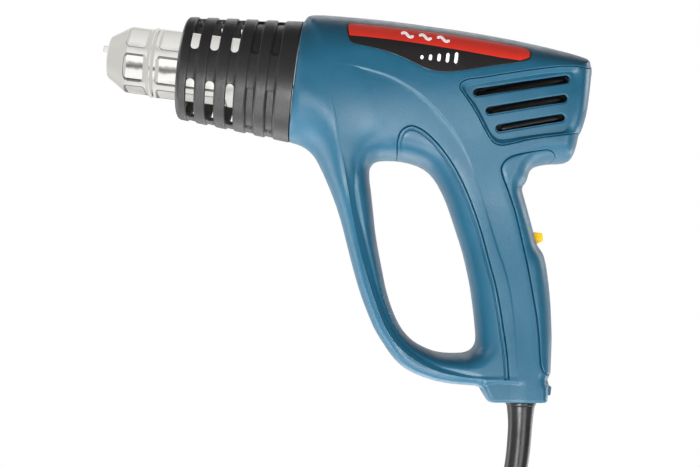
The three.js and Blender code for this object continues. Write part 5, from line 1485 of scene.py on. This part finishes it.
def build_louvres(side, tag):
    """A round bar behind each slot, on a thin plate."""
    points, faces = [], []

    def join(part_points, part_faces):
        base = len(points)
        faces.extend(tuple(base + i for i in face) for face in part_faces)
        points.extend(part_points)
    for x0, z0, x1, z1 in SLOTS:
        short = 3.4 if x0 < -55 else 0  # the longest bar starts further back
        path = [(x0 + 1.4 + short, side * 23.7, z0 + 0.3 + short * 0.28),
                ((x0 + x1) / 2, side * 24.0, (z0 + z1) / 2 + 0.3),
                (x1 - 0.6, side * 23.9, z1 + 0.3)]
        join(*sweep(path, louvre_radius, 60, 24))
    rim = spline(PLATE, 1.0, True)
    plate = [(x, side * (PLATE_Y + y), z)
             for shift, y in PLATE_RINGS for x, z in shifted(rim, shift, True)]
    join(np.array(plate), loft_faces(len(PLATE_RINGS), len(rim)))
    ob = mesh_object("louvre_insert_" + tag, np.array(points), faces, MAT["black_void"])
    place(ob, "intake_grille_" + tag)


build_louvres(-1, "left")
build_louvres(1, "right")

# ---------------------------------------------------------------- inner parts keep their CAD shape
INNER = {
    "mica": ["mica_sleeve", "heater_end_disc"],
    "ceramic": ["ceramic_core"],
    "copper": ["heating_coil", "motor_armature"],
    "steel": ["thermal_cutout", "motor_can"] + [n for n in NODES if "screw" in n],
    "inner": ["fan_shroud", "heater_mount_ring", "motor_end_cap", "switch_body", "cord_clamp",
              "motor_magnet_1", "motor_magnet_2", "carbon_brush_1", "carbon_brush_2"]
             + [n for n in NODES if "diode" in n],
    "natural": ["fan_impeller", "terminal_block"],
    "board": ["rectifier_board"],
    "yellow": ["suppression_capacitor"],
    "brass": [n for n in NODES if "switch_terminal" in n],
    "rubber": [n for n in NODES if n.startswith("lead_")],
    "black_void": [n for n in NODES if n.startswith("intake_grille")],
}
for key, names in INNER.items():
    for name in names:
        if name in NODES:
            materials = NODES[name].data.materials
            materials.clear()
            materials.append(MAT[key])

# ---------------------------------------------------------------- world, in metres from here on
scene = bpy.context.scene
scene.view_settings.view_transform = "Standard"
# grey of the surroundings from straight down (0) to straight up (1)
WORLD_LOW, WORLD_HIGH = 0.6, 0.16
WORLD_STOPS = [(0.25, 0.52), (0.42, 0.27), (0.5, 0.12), (0.6, 0.04), (0.75, 0.13)]


def build_world():
    """Graded grey for lighting and reflections, white to the camera."""
    world = bpy.data.worlds.new("studio")
    scene.world = world
    world.use_nodes = True
    tree = world.node_tree
    tree.nodes.clear()
    output = add(tree, "OutputWorld")
    graded = add(tree, "Background")
    direction = split_xyz(tree, add(tree, "TexCoord").outputs["Generated"])
    tones = tone_ramp(tree, direction["Z"], (WORLD_LOW,) * 3, (WORLD_HIGH,) * 3,
                      [(at, (grey,) * 3) for at, grey in WORLD_STOPS])
    tree.links.new(tones, graded.inputs[0])
    white = add(tree, "Background")
    white.inputs[0].default_value = (1, 1, 1, 1)
    camera_ray = add(tree, "LightPath").outputs["Is Camera Ray"]
    mix_shader(tree, camera_ray, graded.outputs[0], white.outputs[0], output)


build_world()

# ---------------------------------------------------------------- lights
LIGHT_TARGET = Vector((-0.13, 0, -0.06))
LIGHT_DISTANCE = 0.85
# name, elevation and azimuth in degrees (0 is -y, 90 is +x), size in metres, power in watts
LIGHTS = [
    ("key", -28, -6, 0.30, 4.9), ("fill_right", -16, 36, 0.34, 1.9),
    ("low_front", -62, -18, 0.40, 2.6), ("side_left", -2, -45, 0.34, 0.4),
    ("upper_left", 12, -60, 0.34, 0.8), ("rim_left", -15, -110, 0.34, 1.5),
    ("rim_left_low", -45, -110, 0.40, 1.8), ("rim_left_high", 20, -110, 0.40, 3.0),
    ("rim_right", -15, 120, 0.34, 1.1), ("rim_right_low", -45, 110, 0.40, 1.5),
    ("rim_right_high", 20, 110, 0.40, 2.0), ("low_back", -50, 180, 0.50, 1.5),
    ("high_back", 45, 180, 0.50, 0.8)]
for name, elevation, azimuth, size, power in LIGHTS:
    elevation, azimuth = math.radians(elevation), math.radians(azimuth)
    away = Vector((math.sin(azimuth) * math.cos(elevation),
                   -math.cos(azimuth) * math.cos(elevation), math.sin(elevation)))
    light = bpy.data.lights.new(name, "AREA")
    light.energy = power
    light.size = size
    ob = bpy.data.objects.new(name, light)
    ob.location = LIGHT_TARGET + away * LIGHT_DISTANCE
    aim = LIGHT_TARGET - (LIGHT_TARGET + away * LIGHT_DISTANCE)
    ob.rotation_euler = aim.to_track_quat("-Z", "Y").to_euler()
    ob.visible_camera = False
    scene.collection.objects.link(ob)

# ---------------------------------------------------------------- backdrop
FLOOR_Z = -1.0
BEND_START, BEND_R = 1.0, 0.6


def build_backdrop():
    """Pale floor that curves up into a wall beyond +x."""
    profile = [(-1.9, FLOOR_Z), (BEND_START, FLOOR_Z)]
    profile += [(BEND_START + BEND_R * math.sin(t), FLOOR_Z + BEND_R * (1 - math.cos(t)))
                for t in np.linspace(0.1, math.pi / 2, 10)]
    # the profile's first number runs along y in the name below only as a depth
    profile += [(BEND_START + BEND_R, 1.8)]
    points = [(x, depth, z) for depth, z in profile for x in (-2.6, 2.4)]
    faces = [(2 * i, 2 * i + 1, 2 * i + 3, 2 * i + 2) for i in range(len(profile) - 1)]
    mesh = bpy.data.meshes.new("backdrop")
    mesh.from_pydata(points, [], faces)
    for face in mesh.polygons:
        face.use_smooth = True
    ob = bpy.data.objects.new("backdrop", mesh)
    scene.collection.objects.link(ob)
    material, tree, bsdf, output = new_material("pale_floor")
    bsdf.inputs["Base Color"].default_value = (0.8, 0.8, 0.8, 1)
    bsdf.inputs["Roughness"].default_value = 0.9
    bsdf.inputs["Emission Color"].default_value = (1, 1, 1, 1)
    bsdf.inputs["Emission Strength"].default_value = 0.42
    glow = add(tree, "Emission")
    camera_ray = add(tree, "LightPath").outputs["Is Camera Ray"]
    mix_shader(tree, camera_ray, bsdf.outputs[0], glow.outputs[0], output)
    mesh.materials.append(material)


build_backdrop()

# ---------------------------------------------------------------- camera
CAMERA_PLACE = (-0.1118, -0.655, -0.0744)
CAMERA_ROLL = math.radians(7.2)

camera = bpy.data.cameras.new("camera")
camera.sensor_width = 36
camera.lens = 64.8
camera.clip_start = 0.01
camera_object = bpy.data.objects.new("camera", camera)
camera_right = Vector((math.cos(CAMERA_ROLL), 0, math.sin(CAMERA_ROLL)))
camera_up = Vector((-math.sin(CAMERA_ROLL), 0, math.cos(CAMERA_ROLL)))
camera_back = Vector((0, -1, 0))
camera_object.matrix_world = (
    Matrix.Translation(CAMERA_PLACE)
    @ Matrix((camera_right, camera_up, camera_back)).transposed().to_4x4())
scene.collection.objects.link(camera_object)
scene.camera = camera_object
